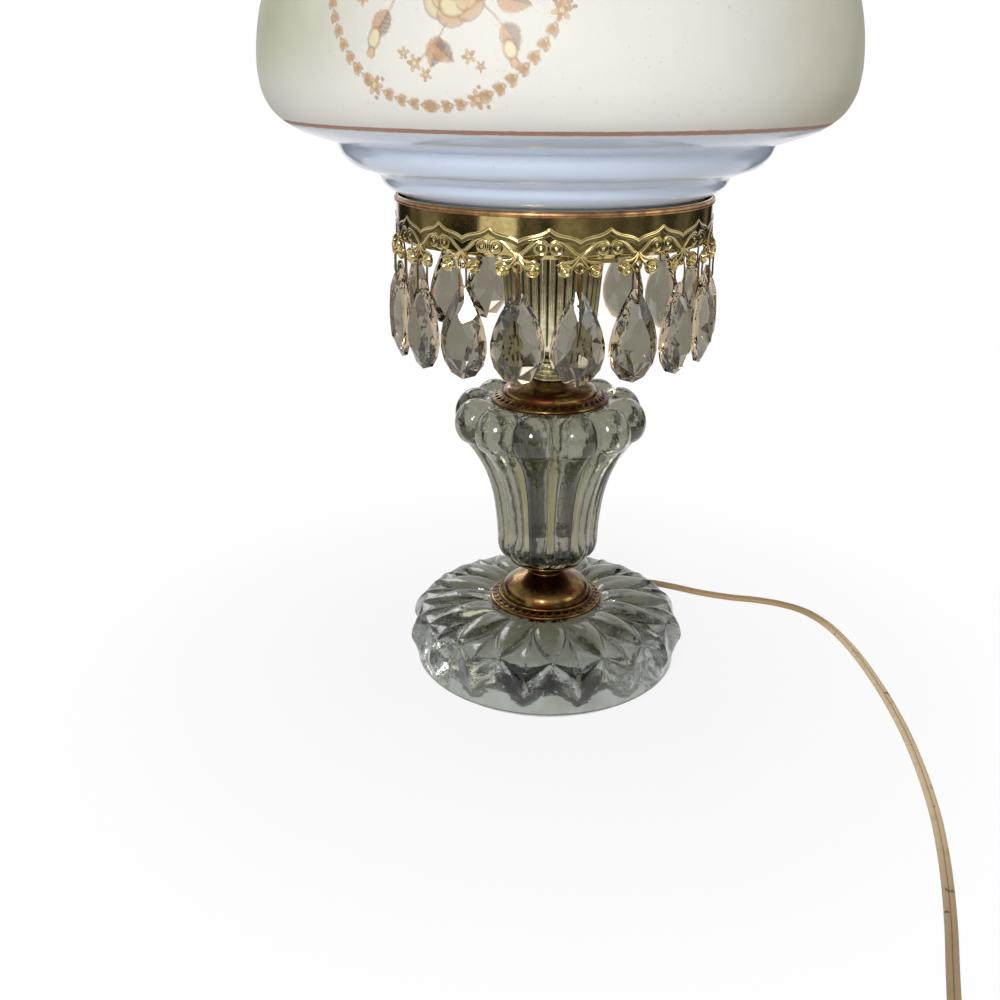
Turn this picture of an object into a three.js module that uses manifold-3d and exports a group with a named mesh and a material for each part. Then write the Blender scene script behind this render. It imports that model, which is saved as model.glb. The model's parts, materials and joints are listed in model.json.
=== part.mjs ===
// A boudoir table lamp: glass foot and vase, fluted socket cup, gallery ring with hanging
// crystals, and a milk-glass shade. Millimetres, +Z up. The lamp stands on z = 0, its axis is the
// Z axis and its front faces -Y. Angles round the axis count from the front towards +X.
import * as THREE from "three";
import { mergeVertices } from "three/addons/utils/BufferGeometryUtils.js";
import Module from "manifold-3d";

const wasm = await Module();
wasm.setup();

const degrees = Math.PI / 180;

// Clearances
const seatGap = 0.05; // between pieces that stand on each other
const boreClearance = 0.3; // between the pipe and each bore that it runs through
const shadeSeatGap = 0.3; // under the shade, which lifts off
const shadeNeckClearance = 3.6; // between the shade's neck and the ring's band
const hookClearance = 0.3; // between a hanger wire and the edge of its eye
const cordEndGap = 0.3; // between the cord's ends and what they meet
const keyClearance = 0.3; // round the stem of the switch key

// Pipe, nut and washer
const pipeRadius = 4.9;
const pipeBore = 3.4;
const pipeBelowNut = 1.6;
const pipeIntoSocket = 6.0;
const nutAcrossFlats = 14.3;
const nutThickness = 4.2;
const washerRadius = 15.0;
const washerThickness = 1.6;

// Glass foot
const petalCount = 16;
const petalPhase = 14.4 * degrees;
const footTop = 34.5;
const footSeatMargin = 2.3;
const leafCrownRadius = 37.0;
const leafCrownRise = 2.1;
const leafBackRadius = 50.0;
const leafBackRise = 0.8;
const leafPartingRadius = 43.0;
const leafTipRadius = 61.0;
const leafTipDrop = 3.2;
const shoulderRadius = 60.0;
const shoulderDrop = 2.7;
const shoulderEdgeRadius = 65.4;
const shoulderEdgeHeight = 26.4;
const tipRadius = 67.5;
const tipHeight = 20.0;
const bandRadius = 63.6;
const bandHeight = 8.5;
const bandWaistRadius = 60.4;
const bandWaistHeight = 3.2;
const restRadius = 54.6;
const recessRadius = 49.5;
const recessShoulderRadius = 43.0;
const recessShoulderHeight = 8.0;
const recessCeilingRadius = 22.0;
const recessCeiling = 14.0;

// Cord exit in the back of the foot
const exitAngle = 159.65 * degrees;
const exitHeight = 4.6;
const exitNotchHalfWidth = 4.5;
const exitNotchDepth = 40.0;
const bushingRadius = 4.2;
const bushingTipRadius = 3.2;
const bushingStart = 45.0;
const bushingParallel = 14.0;
const bushingLength = 24.0;

// The two dished brass caps, on the foot and on the vase
const capRimRadius = 27.2;
const capRimThickness = 2.2;
const capDomeRadius = 22.6;
const capDomeEdge = 4.4;
const capTopRadius = 9.2;
const capHeight = 10.2;
const footCapHeight = 14.5;
const capWall = 1.1;

// Turned brass waist between foot cap and vase
const waistHeight = 8.2;
const waistFootRadius = 8.8;
const waistRadius = 7.6;
const saucerRadius = 18.4;

// Glass vase
const lobeCount = 12;
const lobePhase = 19.0 * degrees;
const lobeSteps = 4;
const vaseHeight = 81.5;
const vaseFootRadius = 16.0;
const vaseStemRadius = 24.6;
const vaseCrownRadius = 45.2;
const vaseCapSeat = 79.0;
const vaseFloor = 15.0;
const vaseWellRadius = 10.0;
const vaseMouthRadius = 17.0;

// Ribbed collar and fluted socket cup
const collarHeight = 10.3;
const collarRadius = 9.2;
const collarRibDepth = 1.3;
const fluteCount = 36;
const fluteDepth = 0.9;
const fluteFoot = 12.5;
const cupHeight = 52.5;
const cupFootRadius = 10.0;
const cupShoulderRadius = 20.4;
const cupShoulderDrop = 1.4;
const cupShoulderHeight = 6.5;
const cupMouthRadius = 23.4;
const cupWall = 1.3;

// Spider that carries the gallery ring
const spiderThickness = 1.4;
const spiderHubBore = 17.2;
const spiderHubRadius = 25.0;
const spiderArmCount = 3;
const spiderArmWidth = 8.0;
const spiderEndClearance = 0.5;

// Gallery ring
const ringRadius = 68.6;
const ringWall = 0.8;
const ringHeight = 18.5;
const ringBeadRadius = 1.5;
const ringLipDepth = 7.0;
const ringLipThickness = 1.0;
const pendantCount = 18;
const pendantPhase = 8.8 * degrees;
const eyeDrop = 2.9;
const eyeRadius = 1.2;
const eyeTabRadius = 2.3;
const curlSpread = 5.8;
const curlRadius = 2.3;

// Crystal pendants and their wire hangers
const crystalHeight = 38.0;
const crystalWidth = 22.4;
const crystalDepth = 9.2;
const crystalHoleDrop = 5.2;
const crystalHoleRadius = 0.9;
const hangerWireRadius = 0.4;
const hangerDrop = 12.95;
const hangerShoulder = 2.1;
const hangerSpread = 3.9;
const hangerEnd = 1.2;

// Socket, key and bulb
const socketCapHeight = 11.0;
const socketRadius = 16.8;
const socketWall = 0.9;
const socketShellHeight = 36.0;
const coreClearance = 0.5;
const coreFloor = 11.0;
const coreHeight = 37.0;
const coreSleeve = 2.0;
const keyRise = 6.0;
const keyStemRadius = 1.6;
const keyHoleInCup = 3.6;
const keyReach = 32.0;
const keyBladeWidth = 13.0;
const keyBladeHeight = 9.0;
const keyBladeThickness = 2.6;
const bulbBaseRadius = 13.1;
const bulbBaseHeight = 26.5;
const bulbRadius = 30.0;
const bulbHeight = 110.0;
const bulbWall = 1.0;

// Milk-glass shade
const shadeNeckHeight = 15.1;
const shadeLowerStepReach = 10.4; // of the lower moulding beyond the neck
const shadeLowerStepHeight = 24.6;
const shadeUpperStepReach = 28.0; // of the upper moulding beyond the neck
const shadeUpperStepHeight = 38.2;
const shadeBellyRadius = 122.7;
const shadeBellyHeight = 68.0;
const shadeDomeRise = 78.0;
const shadeMouthRadius = 50.0;
const shadeHeight = 158.0;
const shadeWall = 3.2;

// Cord, coil and plug
const cordWidth = 4.6;
const cordThickness = 2.6;
const coilTurns = 7.25;
const coilLayers = 4;
const coilPitch = 5.2;
const coilLayerPitch = 3.2;
const coilOuterRadius = 32.0;
const coilCentreX = 97.2;
const coilCentreY = -270.0;
const coilLeadIn = 14.0;
const coilRunOut = 46.0;
const loopSteps = 24;
const plugLength = 28.0;
const plugWidth = 21.0;
const plugThickness = 11.4;
const plugTailWidth = 9.0;
const plugClearOfTable = 0.15;
const bladeLength = 16.0;
const bladeWidth = 6.35;
const bladeThickness = 1.5;
const bladeSpacing = 12.7;

// Heights of the stack, from the table up
const boreRadius = pipeRadius + boreClearance;
const footCapBase = footTop + seatGap;
const footSeatRadius = capRimRadius + footSeatMargin;
const waistBase = footCapBase + footCapHeight + seatGap;
const vaseBase = waistBase + waistHeight + seatGap;
const vaseCapBase = vaseBase + vaseCapSeat + seatGap;
const collarBase = vaseCapBase + capHeight + seatGap;
const cupBase = collarBase + collarHeight + seatGap;
const socketBase = cupBase + cupWall + seatGap;
const spiderBase = cupBase + cupHeight + seatGap;
const ringBase = spiderBase + spiderThickness + seatGap;
const shadeBase = ringBase + ringLipThickness + shadeSeatGap;
const shellBase = socketBase + socketCapHeight + seatGap;
const coreBase = socketBase + pipeIntoSocket + cupWall;
const keyHeight = coreBase + keyRise;
const bulbBase = coreBase + coreFloor + seatGap;
const shadeNeckRadius = ringRadius - ringWall - shadeNeckClearance;
const shadeLowerStepRadius = shadeNeckRadius + shadeLowerStepReach;
const shadeUpperStepRadius = shadeNeckRadius + shadeUpperStepReach;
const hangRadius = ringRadius - ringWall / 2;
const eyeHeight = ringBase - eyeDrop;
const hookHeight = eyeHeight - eyeRadius * Math.cos(Math.PI / 6) + hookClearance + hangerWireRadius;
const cordLie = cordThickness / 2 + seatGap;
const plugAxis = plugThickness / 2 + plugClearOfTable;

// Finishes
function finish(color, roughness, metalness, extra = {}) {
  return new THREE.MeshStandardMaterial({ color, roughness, metalness, ...extra });
}
const clearGlass = () => finish(0x9aa79c, 0.05, 0, { transparent: true, opacity: 0.45 });
const crystalGlass = () => finish(0xc9b79a, 0.04, 0, { transparent: true, opacity: 0.6 });
const milkGlass = () => finish(0xe9e6dc, 0.25, 0);
const agedBrass = () => finish(0x7a5526, 0.35, 1);
const polishedBrass = () => finish(0xb39a55, 0.15, 1);
const plainBrass = () => finish(0xa98b4a, 0.35, 1);
const zincSteel = () => finish(0x9a9c9e, 0.4, 1);
const porcelain = () => finish(0xe8e2d4, 0.3, 0);
const bulbGlass = () => finish(0xf4f2ea, 0.3, 0);
const brownPlastic = () => finish(0x3a2a1e, 0.45, 0);
const cordPlastic = () => finish(0xb39a72, 0.5, 0);
const bladeBrass = () => finish(0xc2a661, 0.3, 1);

// A point at a radius, an angle from the front and a height
function around(radius, angle, height) {
  return new THREE.Vector3(radius * Math.sin(angle), -radius * Math.cos(angle), height);
}

// Merges corners that meet and drops faces that have collapsed to a line
function weld(geometry) {
  const bare = geometry.clone();
  bare.deleteAttribute("normal");
  bare.deleteAttribute("uv");
  const merged = mergeVertices(bare, 1e-4);
  const corners = merged.index.array;
  const kept = [];
  for (let i = 0; i < corners.length; i += 3) {
    const [a, b, c] = [corners[i], corners[i + 1], corners[i + 2]];
    if (a !== b && b !== c && c !== a) kept.push(a, b, c);
  }
  merged.setIndex(kept);
  return merged;
}

// Six times the signed volume: positive where the faces point outwards
function signedVolume(geometry) {
  const at = geometry.attributes.position;
  const corners = geometry.index.array;
  const [a, b, c] = [new THREE.Vector3(), new THREE.Vector3(), new THREE.Vector3()];
  let volume = 0;
  for (let i = 0; i < corners.length; i += 3) {
    a.fromBufferAttribute(at, corners[i]);
    b.fromBufferAttribute(at, corners[i + 1]);
    c.fromBufferAttribute(at, corners[i + 2]);
    volume += a.dot(b.cross(c));
  }
  return volume;
}

function facingOut(geometry) {
  const welded = weld(geometry);
  if (signedVolume(welded) < 0) {
    const corners = Array.from(welded.index.array);
    for (let i = 0; i < corners.length; i += 3) {
      [corners[i + 1], corners[i + 2]] = [corners[i + 2], corners[i + 1]];
    }
    welded.setIndex(corners);
  }
  return welded;
}

// Turns a closed profile of [radius, height] corners about the Z axis
function turned(profile, segments) {
  const corners = profile.map(([radius, height]) => new THREE.Vector2(radius, height));
  if (profile[0][0] > 0 || profile[profile.length - 1][0] > 0) corners.push(corners[0].clone());
  const geometry = new THREE.LatheGeometry(corners, segments);
  geometry.rotateX(Math.PI / 2);
  return facingOut(geometry);
}

// Skins a list of equal rows of points, each row closed round and the last joined to the first
function ringSkin(rows, leansBack = () => false) {
  const across = rows[0].length;
  const corners = [];
  rows.forEach((row, i) => {
    const next = (i + 1) % rows.length;
    row.forEach((_, j) => {
      const k = (j + 1) % across;
      const [a, b, c, d] = [i * across + j, i * across + k, next * across + k, next * across + j];
      if (leansBack(i, j)) corners.push(a, b, d, b, c, d);
      else corners.push(a, b, c, a, c, d);
    });
  });
  const geometry = new THREE.BufferGeometry().setFromPoints(rows.flat());
  geometry.setIndex(corners);
  return facingOut(geometry);
}

// Skins a list of equal closed sections into one tube with flat ends
function tubeSkin(sections) {
  const sides = sections[0].length;
  const corners = [];
  for (let i = 0; i + 1 < sections.length; i += 1) {
    for (let j = 0; j < sides; j += 1) {
      const k = (j + 1) % sides;
      const [a, b] = [i * sides + j, i * sides + k];
      corners.push(a, b, b + sides, a, b + sides, a + sides);
    }
  }
  const last = (sections.length - 1) * sides;
  for (let j = 1; j + 1 < sides; j += 1) {
    corners.push(0, j + 1, j, last, last + j, last + j + 1);
  }
  const geometry = new THREE.BufferGeometry().setFromPoints(sections.flat());
  geometry.setIndex(corners);
  return facingOut(geometry);
}

// Stands an outline square to a path at each of its points, with its second axis towards upwards
function sectionsAlong(path, upwards, outline) {
  return path.map((point, i) => {
    const ahead = path[Math.min(i + 1, path.length - 1)];
    const behind = path[Math.max(i - 1, 0)];
    const along = ahead.clone().sub(behind).normalize();
    const across = along.clone().cross(upwards).normalize();
    const over = across.clone().cross(along);
    return outline.map(([x, y]) =>
      point.clone().addScaledVector(across, x).addScaledVector(over, y));
  });
}

function solidOf(geometry) {
  const closed = facingOut(geometry);
  return new wasm.Manifold(new wasm.Mesh({
    numProp: 3,
    vertProperties: Float32Array.from(closed.attributes.position.array),
    triVerts: Uint32Array.from(closed.index.array),
  }));
}

function geometryOf(solid) {
  const mesh = solid.getMesh();
  const geometry = new THREE.BufferGeometry();
  geometry.setAttribute("position", new THREE.BufferAttribute(mesh.vertProperties, 3));
  geometry.setIndex(new THREE.BufferAttribute(mesh.triVerts, 1));
  return geometry;
}

function cut(geometry, ...tools) {
  return geometryOf(tools.reduce((solid, tool) => solid.subtract(solidOf(tool)), solidOf(geometry)));
}

function joined(geometry, ...others) {
  return geometryOf(others.reduce((solid, other) => solid.add(solidOf(other)), solidOf(geometry)));
}

// A round bar that lies along -Y, outwards from the axis at the front
function radialBar(radius, from, to, height, sides) {
  const bar = new THREE.CylinderGeometry(radius, radius, to - from, sides);
  bar.rotateY(Math.PI / sides);
  bar.translate(0, -(from + to) / 2, height);
  return bar;
}

function footGlass() {
  const half = Math.PI / petalCount;
  const leafCrown = footTop + leafCrownRise;
  const leafBack = footTop + leafBackRise;
  const leafTip = footTop - leafTipDrop;
  // Each row gives radius and height along a lower petal's middle, then along an upper petal's
  const rowSizes = [
    [boreRadius, footTop, boreRadius, footTop],
    [footSeatRadius, footTop, footSeatRadius, footTop],
    [leafPartingRadius, footTop, leafCrownRadius, leafCrown],
    [leafPartingRadius, footTop, leafBackRadius, leafBack],
    [shoulderRadius, footTop - shoulderDrop, leafTipRadius, leafTip],
    [shoulderEdgeRadius, shoulderEdgeHeight, leafTipRadius, leafTip],
    [tipRadius, tipHeight, leafTipRadius, leafTip],
    [bandRadius, bandHeight, bandRadius - 0.6, bandHeight],
    [bandWaistRadius, bandWaistHeight, bandWaistRadius, bandWaistHeight],
    [restRadius, 0, restRadius, 0],
    [recessRadius, 0, recessRadius, 0],
    [recessShoulderRadius, recessShoulderHeight, recessShoulderRadius, recessShoulderHeight],
    [recessCeilingRadius, recessCeiling, recessCeilingRadius, recessCeiling],
    [boreRadius, recessCeiling, boreRadius, recessCeiling],
  ];
  const rows = rowSizes.map(([lowerRadius, lowerHeight, upperRadius, upperHeight]) =>
    Array.from({ length: 2 * petalCount }, (_, j) => {
      const angle = petalPhase + j * half;
      if (j % 2 === 0) return around(lowerRadius, angle, lowerHeight);
      return around(upperRadius, angle, upperHeight);
    }));
  return cut(ringSkin(rows, (i, j) => j % 2 === 1), exitNotch());
}

// The arched notch in the foot's rim that the cord's bushing sits in
function exitNotch() {
  const outline = new THREE.Shape();
  outline.moveTo(-exitNotchHalfWidth, -1);
  outline.lineTo(exitNotchHalfWidth, -1);
  outline.lineTo(exitNotchHalfWidth, exitHeight);
  outline.absarc(0, exitHeight, exitNotchHalfWidth, 0, Math.PI, false);
  outline.closePath();
  const notch = new THREE.ExtrudeGeometry(outline, {
    depth: exitNotchDepth, bevelEnabled: false, curveSegments: 8,
  });
  notch.rotateX(Math.PI / 2);
  notch.translate(0, -(bandRadius - exitNotchDepth / 2 - 4), 0);
  notch.rotateZ(exitAngle);
  return notch;
}

function cordBushing() {
  const bore = cordWidth / 2 + cordEndGap;
  const bushing = turned([
    [bore, 0],
    [bushingRadius, 0],
    [bushingRadius, bushingParallel],
    [bushingTipRadius, bushingLength],
    [bore, bushingLength],
  ], 16);
  bushing.rotateX(Math.PI / 2);
  bushing.translate(0, -bushingStart, exitHeight);
  bushing.rotateZ(exitAngle);
  return bushing;
}

// A pressed brass cap: flat beaded rim, dished edge and a low dome, open underneath
function dishedCap(base, height) {
  const edge = capRimRadius - capDomeRadius;
  const dome = height - capDomeEdge;
  return turned([
    [capRimRadius, base],
    [capRimRadius, base + capRimThickness / 2],
    [capRimRadius - 0.2 * edge, base + capRimThickness],
    [capDomeRadius + 0.1 * edge, base + capDomeEdge - 0.6],
    [capDomeRadius - 1.6, base + capDomeEdge + 0.24 * dome],
    [(capDomeRadius + capTopRadius) / 2, base + height - 0.26 * dome],
    [capTopRadius, base + height],
    [boreRadius, base + height],
    [boreRadius, base + height - capWall],
    [(capDomeRadius + capTopRadius) / 2 - 0.6, base + height - 0.26 * dome - capWall],
    [capRimRadius - 2 * capWall, base],
  ], 24);
}

function waistSpool() {
  const top = waistBase + waistHeight;
  return turned([
    [boreRadius, waistBase],
    [waistFootRadius, waistBase],
    [waistFootRadius, waistBase + 0.6],
    [waistRadius, waistBase + 1.3],
    [waistRadius + 0.2, waistBase + 2.2],
    [waistRadius + 2.4, waistBase + 3.9],
    [saucerRadius - 3.2, waistBase + 5.9],
    [saucerRadius, top - 1.0],
    [saucerRadius - 0.6, top],
    [boreRadius, top],
  ], 24);
}

// The share of a lobe's swelling across its width, 0 in the groove and 1 on the crest
function lobeSwell(step) {
  const across = Math.abs(2 * ((step % lobeSteps) / lobeSteps) - 1);
  return Math.sqrt(1 - across * across);
}

function vaseGlass() {
  const stem = vaseStemRadius;
  const crown = vaseCrownRadius;
  // Crest radius, depth of the groove beside it, and height over the vase's foot
  const outer = [
    [vaseFootRadius, 0.5, 0],
    [stem - 2.0, 3.0, 4.2],
    [stem, 3.5, 9.6],
    [stem + 0.6, 3.5, 21.0],
    [stem + 2.4, 3.7, 34.0],
    [stem + 5.8, 4.0, 45.5],
    [stem + 10.4, 4.6, 54.5],
    [crown - 4.8, 5.6, 61.2],
    [crown - 1.2, 6.8, 65.6],
    [crown, 7.6, 70.0],
    [crown - 1.6, 7.4, 75.4],
    [crown - 5.8, 5.4, vaseHeight - 1.4],
    [crown - 10.2, 2.6, vaseHeight],
    [capRimRadius + 1.0, 0, vaseHeight - 2.0],
  ];
  const columns = lobeCount * lobeSteps;
  const rows = outer.map(([crest, depth, rise]) => Array.from({ length: columns }, (_, j) => {
    const angle = lobePhase + ((j - lobeSteps / 2) * 2 * Math.PI) / columns;
    return around(crest - depth * (1 - lobeSwell(j)), angle, vaseBase + rise);
  }));
  const plain = (radius, rise) => Array.from({ length: columns }, (_, j) =>
    around(radius, lobePhase + ((j - lobeSteps / 2) * 2 * Math.PI) / columns, vaseBase + rise));
  rows.push(plain(capRimRadius + 0.6, vaseCapSeat));
  rows.push(plain(boreRadius, vaseCapSeat));
  rows.push(plain(boreRadius, 0));
  const well = turned([
    [0, vaseBase + vaseFloor],
    [vaseWellRadius, vaseBase + vaseFloor],
    [vaseMouthRadius, vaseBase + vaseCapSeat + 1],
    [0, vaseBase + vaseCapSeat + 1],
  ], 24);
  return cut(ringSkin(rows), well);
}

function neckCollar() {
  const top = collarBase + collarHeight;
  const groove = collarRadius - collarRibDepth;
  return turned([
    [boreRadius, collarBase],
    [collarRadius - 0.4, collarBase],
    [collarRadius, collarBase + 0.9],
    [groove, collarBase + 1.8],
    [collarRadius - 0.4, collarBase + 2.8],
    [groove - 0.4, collarBase + 3.9],
    [collarRadius - 0.9, collarBase + 4.9],
    [groove - 1.0, collarBase + 6.4],
    [cupFootRadius - 1.4, top],
    [boreRadius, top],
  ], 20);
}

function flutedCup() {
  const columns = 2 * fluteCount;
  const top = cupBase + cupHeight;
  const ring = (crest, groove, height) => Array.from({ length: columns }, (_, j) =>
    around(j % 2 === 0 ? crest : groove, (j * Math.PI) / fluteCount, height));
  const plain = (radius, height) => ring(radius, radius, height);
  const outside = ringSkin([
    plain(boreRadius, cupBase),
    plain(cupFootRadius, cupBase),
    plain(cupShoulderRadius - cupShoulderDrop, cupBase + cupShoulderHeight),
    ring(cupShoulderRadius, cupShoulderRadius - fluteDepth, cupBase + fluteFoot),
    ring(cupMouthRadius, cupMouthRadius - fluteDepth, top - 1.8),
    plain(cupMouthRadius, top),
    plain(boreRadius, top),
  ]);
  const inside = turned([
    [0, cupBase + cupWall],
    [cupFootRadius, cupBase + cupWall],
    [cupShoulderRadius - cupShoulderDrop - cupWall, cupBase + cupShoulderHeight + cupWall / 2],
    [cupShoulderRadius - fluteDepth - cupWall, cupBase + fluteFoot],
    [cupMouthRadius - fluteDepth - cupWall, top + 1],
    [0, top + 1],
  ], 24);
  const keyHole = radialBar(keyHoleInCup, 12, 30, keyHeight, 10);
  keyHole.rotateZ(Math.PI);
  return cut(outside, inside, keyHole);
}

const spiderAngle = pendantPhase + Math.PI / pendantCount;

function gallerySpider() {
  const reach = ringRadius - ringWall - spiderEndClearance;
  const outline = new THREE.Shape();
  const halfArm = Math.asin(spiderArmWidth / 2 / spiderHubRadius);
  for (let arm = 0; arm < spiderArmCount; arm += 1) {
    const middle = (arm * 2 * Math.PI) / spiderArmCount;
    const side = new THREE.Vector2(-Math.sin(middle), Math.cos(middle)).multiplyScalar(spiderArmWidth / 2);
    const tip = new THREE.Vector2(Math.cos(middle), Math.sin(middle)).multiplyScalar(reach);
    const next = middle + (2 * Math.PI) / spiderArmCount;
    if (arm === 0) outline.moveTo(tip.x - side.x, tip.y - side.y);
    else outline.lineTo(tip.x - side.x, tip.y - side.y);
    outline.lineTo(tip.x + side.x, tip.y + side.y);
    outline.absarc(0, 0, spiderHubRadius, middle + halfArm, next - halfArm, false);
  }
  outline.closePath();
  const bore = new THREE.Path();
  bore.absarc(0, 0, spiderHubBore, 0, 2 * Math.PI, true);
  outline.holes.push(bore);
  const spider = new THREE.ExtrudeGeometry(outline, {
    depth: spiderThickness, bevelEnabled: false, curveSegments: 8,
  });
  spider.translate(0, 0, spiderBase);
  spider.rotateZ(spiderAngle - Math.PI / 2);
  return spider;
}

// The pierced tab under a joint of the arches: an eye for the hanger between two round curls
function curlTab() {
  const outline = new THREE.Shape();
  const right = [
    [curlSpread + curlRadius, ringLipThickness],
    [curlSpread + curlRadius, -eyeDrop - 0.2 * curlRadius],
    [curlSpread, -eyeDrop - curlRadius],
    [curlSpread - 0.8 * curlRadius, -eyeDrop - 0.5 * curlRadius],
    [(curlSpread - curlRadius + eyeTabRadius) / 2, -0.65 * eyeDrop],
    [0.5 * eyeTabRadius, -eyeDrop - eyeTabRadius],
  ];
  const left = right.map(([x, y]) => [-x, y]).reverse();
  outline.setFromPoints([...right, ...left].map(([x, y]) => new THREE.Vector2(x, y)));
  const eye = new THREE.Path();
  const eyeSides = 6;
  for (let i = 0; i < eyeSides; i += 1) {
    const turn = (2 * Math.PI * i) / eyeSides;
    const [x, y] = [eyeRadius * Math.cos(turn), -eyeDrop + eyeRadius * Math.sin(turn)];
    if (i === 0) eye.moveTo(x, y);
    else eye.lineTo(x, y);
  }
  eye.closePath();
  outline.holes.push(eye);
  const tab = new THREE.ExtrudeGeometry(outline, { depth: ringWall, bevelEnabled: false });
  tab.rotateX(Math.PI / 2);
  tab.translate(0, -(ringRadius - ringWall), ringBase);
  return tab;
}

const pendantAngles = Array.from({ length: pendantCount }, (_, i) =>
  pendantPhase + (i * 2 * Math.PI) / pendantCount);

function galleryRing() {
  const top = ringBase + ringHeight;
  const inner = ringRadius - ringWall;
  const band = turned([
    [ringRadius, ringBase],
    [ringRadius, top - 2 * ringBeadRadius],
    [ringRadius + 0.6, top - ringBeadRadius],
    [ringRadius - 0.1, top],
    [inner - 0.3, top - 0.6],
    [inner, top - 2 * ringBeadRadius],
    [inner, ringBase + ringLipThickness],
    [inner - ringLipDepth, ringBase + ringLipThickness],
    [inner - ringLipDepth, ringBase],
  ], 54);
  return joined(band, ...pendantAngles.map((angle) => curlTab().rotateZ(angle)));
}

// Half widths and drops from the top as shares of the crystal's width and height
const crystalSide = [
  [0.07, 0],
  [0.225, 0.134],
  [0.41, 0.36],
  [0.5, 0.61],
  [0.41, 0.82],
  [0.16, 1.0],
];

// A cut-glass drop, hanging in its own frame with the centre of its hole at the origin
function crystal() {
  const belly = 0.56;
  const tableShare = 0.6;
  const top = crystalHoleDrop;
  const side = crystalSide.map(([half, drop]) => [half * crystalWidth, top - drop * crystalHeight]);
  const outline = [...side, ...side.map(([x, z]) => [-x, z]).reverse()];
  const middle = top - belly * crystalHeight;
  const girdle = outline.map(([x, z]) => new THREE.Vector3(x, 0, z));
  const table = (depth) => outline.map(([x, z]) =>
    new THREE.Vector3(x * tableShare, depth, middle + (z - middle) * tableShare));
  const corners = outline.length;
  const faces = [];
  for (let j = 0; j < corners; j += 1) {
    const k = (j + 1) % corners;
    faces.push(j, k, corners + k, j, corners + k, corners + j);
    faces.push(k, j, 2 * corners + j, k, 2 * corners + j, 2 * corners + k);
    if (j > 0 && k > 0) {
      faces.push(corners, corners + j, corners + k);
      faces.push(2 * corners, 2 * corners + k, 2 * corners + j);
    }
  }
  const points = [...girdle, ...table(-crystalDepth / 2), ...table(crystalDepth / 2)];
  const body = new THREE.BufferGeometry().setFromPoints(points);
  body.setIndex(faces);
  const hole = radialBar(crystalHoleRadius, -crystalDepth, crystalDepth, 0, 6);
  return cut(body, hole);
}

// The bent wire that passes through the eye of the ring and pinches into the crystal's hole
function hanger() {
  const half = [
    [hangerEnd, 0],
    [hangerSpread, 0.2],
    [hangerShoulder, hangerDrop - 1.4],
    [0.45 * hangerShoulder, hangerDrop],
  ];
  const out = half.map(([reach, rise]) => new THREE.Vector3(0, -reach, rise));
  const back = half.map(([reach, rise]) => new THREE.Vector3(0, reach, rise)).reverse();
  const wire = hangerWireRadius;
  const section = [[wire, 0], [0, wire], [-wire, 0], [0, -wire]];
  return tubeSkin(sectionsAlong([...out, ...back], new THREE.Vector3(1, 0, 0), section));
}

function socketCap() {
  const top = socketBase + socketCapHeight;
  return turned([
    [boreRadius, socketBase],
    [cupFootRadius - 1.5, socketBase],
    [socketRadius, socketBase + 0.6 * socketCapHeight],
    [socketRadius, top],
    [socketRadius - socketWall, top],
    [socketRadius - socketWall, socketBase + 0.65 * socketCapHeight],
    [cupFootRadius - 2.2, socketBase + 1.2],
    [boreRadius, socketBase + 1.2],
  ], 20);
}

function socketShell() {
  const shell = turned([
    [socketRadius - socketWall, shellBase],
    [socketRadius, shellBase],
    [socketRadius, shellBase + socketShellHeight],
    [socketRadius - socketWall, shellBase + socketShellHeight],
  ], 20);
  const opening = radialBar(keyStemRadius + 2 * keyClearance, 12, 30, keyHeight, 8);
  opening.rotateZ(Math.PI);
  return cut(shell, opening);
}

function socketCore() {
  const radius = socketRadius - socketWall - coreClearance;
  const floor = coreBase + coreFloor;
  const core = turned([
    [0, coreBase],
    [radius, coreBase],
    [radius, coreBase + coreHeight],
    [bulbBaseRadius + coreClearance, coreBase + coreHeight],
    [bulbBaseRadius + coreClearance, floor],
    [0, floor],
  ], 20);
  const keyBore = radialBar(keyStemRadius + keyClearance, 2, 30, keyHeight, 8);
  keyBore.rotateZ(Math.PI);
  return cut(core, keyBore);
}

function socketKey() {
  const stem = radialBar(keyStemRadius, 3, keyReach - 2, keyHeight, 8);
  const blade = new THREE.BoxGeometry(keyBladeWidth, keyBladeThickness * 2, keyBladeHeight);
  blade.translate(0, -keyReach, keyHeight);
  const key = joined(stem, blade);
  key.rotateZ(Math.PI);
  return key;
}

function lightBulb() {
  const contactHole = 2.2;
  const outline = [
    [contactHole, 0],
    [bulbBaseRadius, 4.5],
    [bulbBaseRadius, bulbBaseHeight],
    [bulbBaseRadius + 1.6, bulbBaseHeight + 6],
    [0.78 * bulbRadius, 0.5 * bulbHeight],
    [bulbRadius, 0.7 * bulbHeight],
    [0.7 * bulbRadius, 0.92 * bulbHeight],
  ];
  const skin = outline.map(([radius, rise]) => [radius, bulbBase + rise]);
  const inside = outline.slice(1).reverse().map(([radius, rise]) =>
    [radius - bulbWall, bulbBase + Math.max(rise - 0.6 * bulbWall, 1.2)]);
  return turned([
    ...skin,
    [0, bulbBase + bulbHeight],
    [0, bulbBase + bulbHeight - bulbWall],
    ...inside,
    [contactHole, bulbBase + 1.2],
  ], 16);
}

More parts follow.
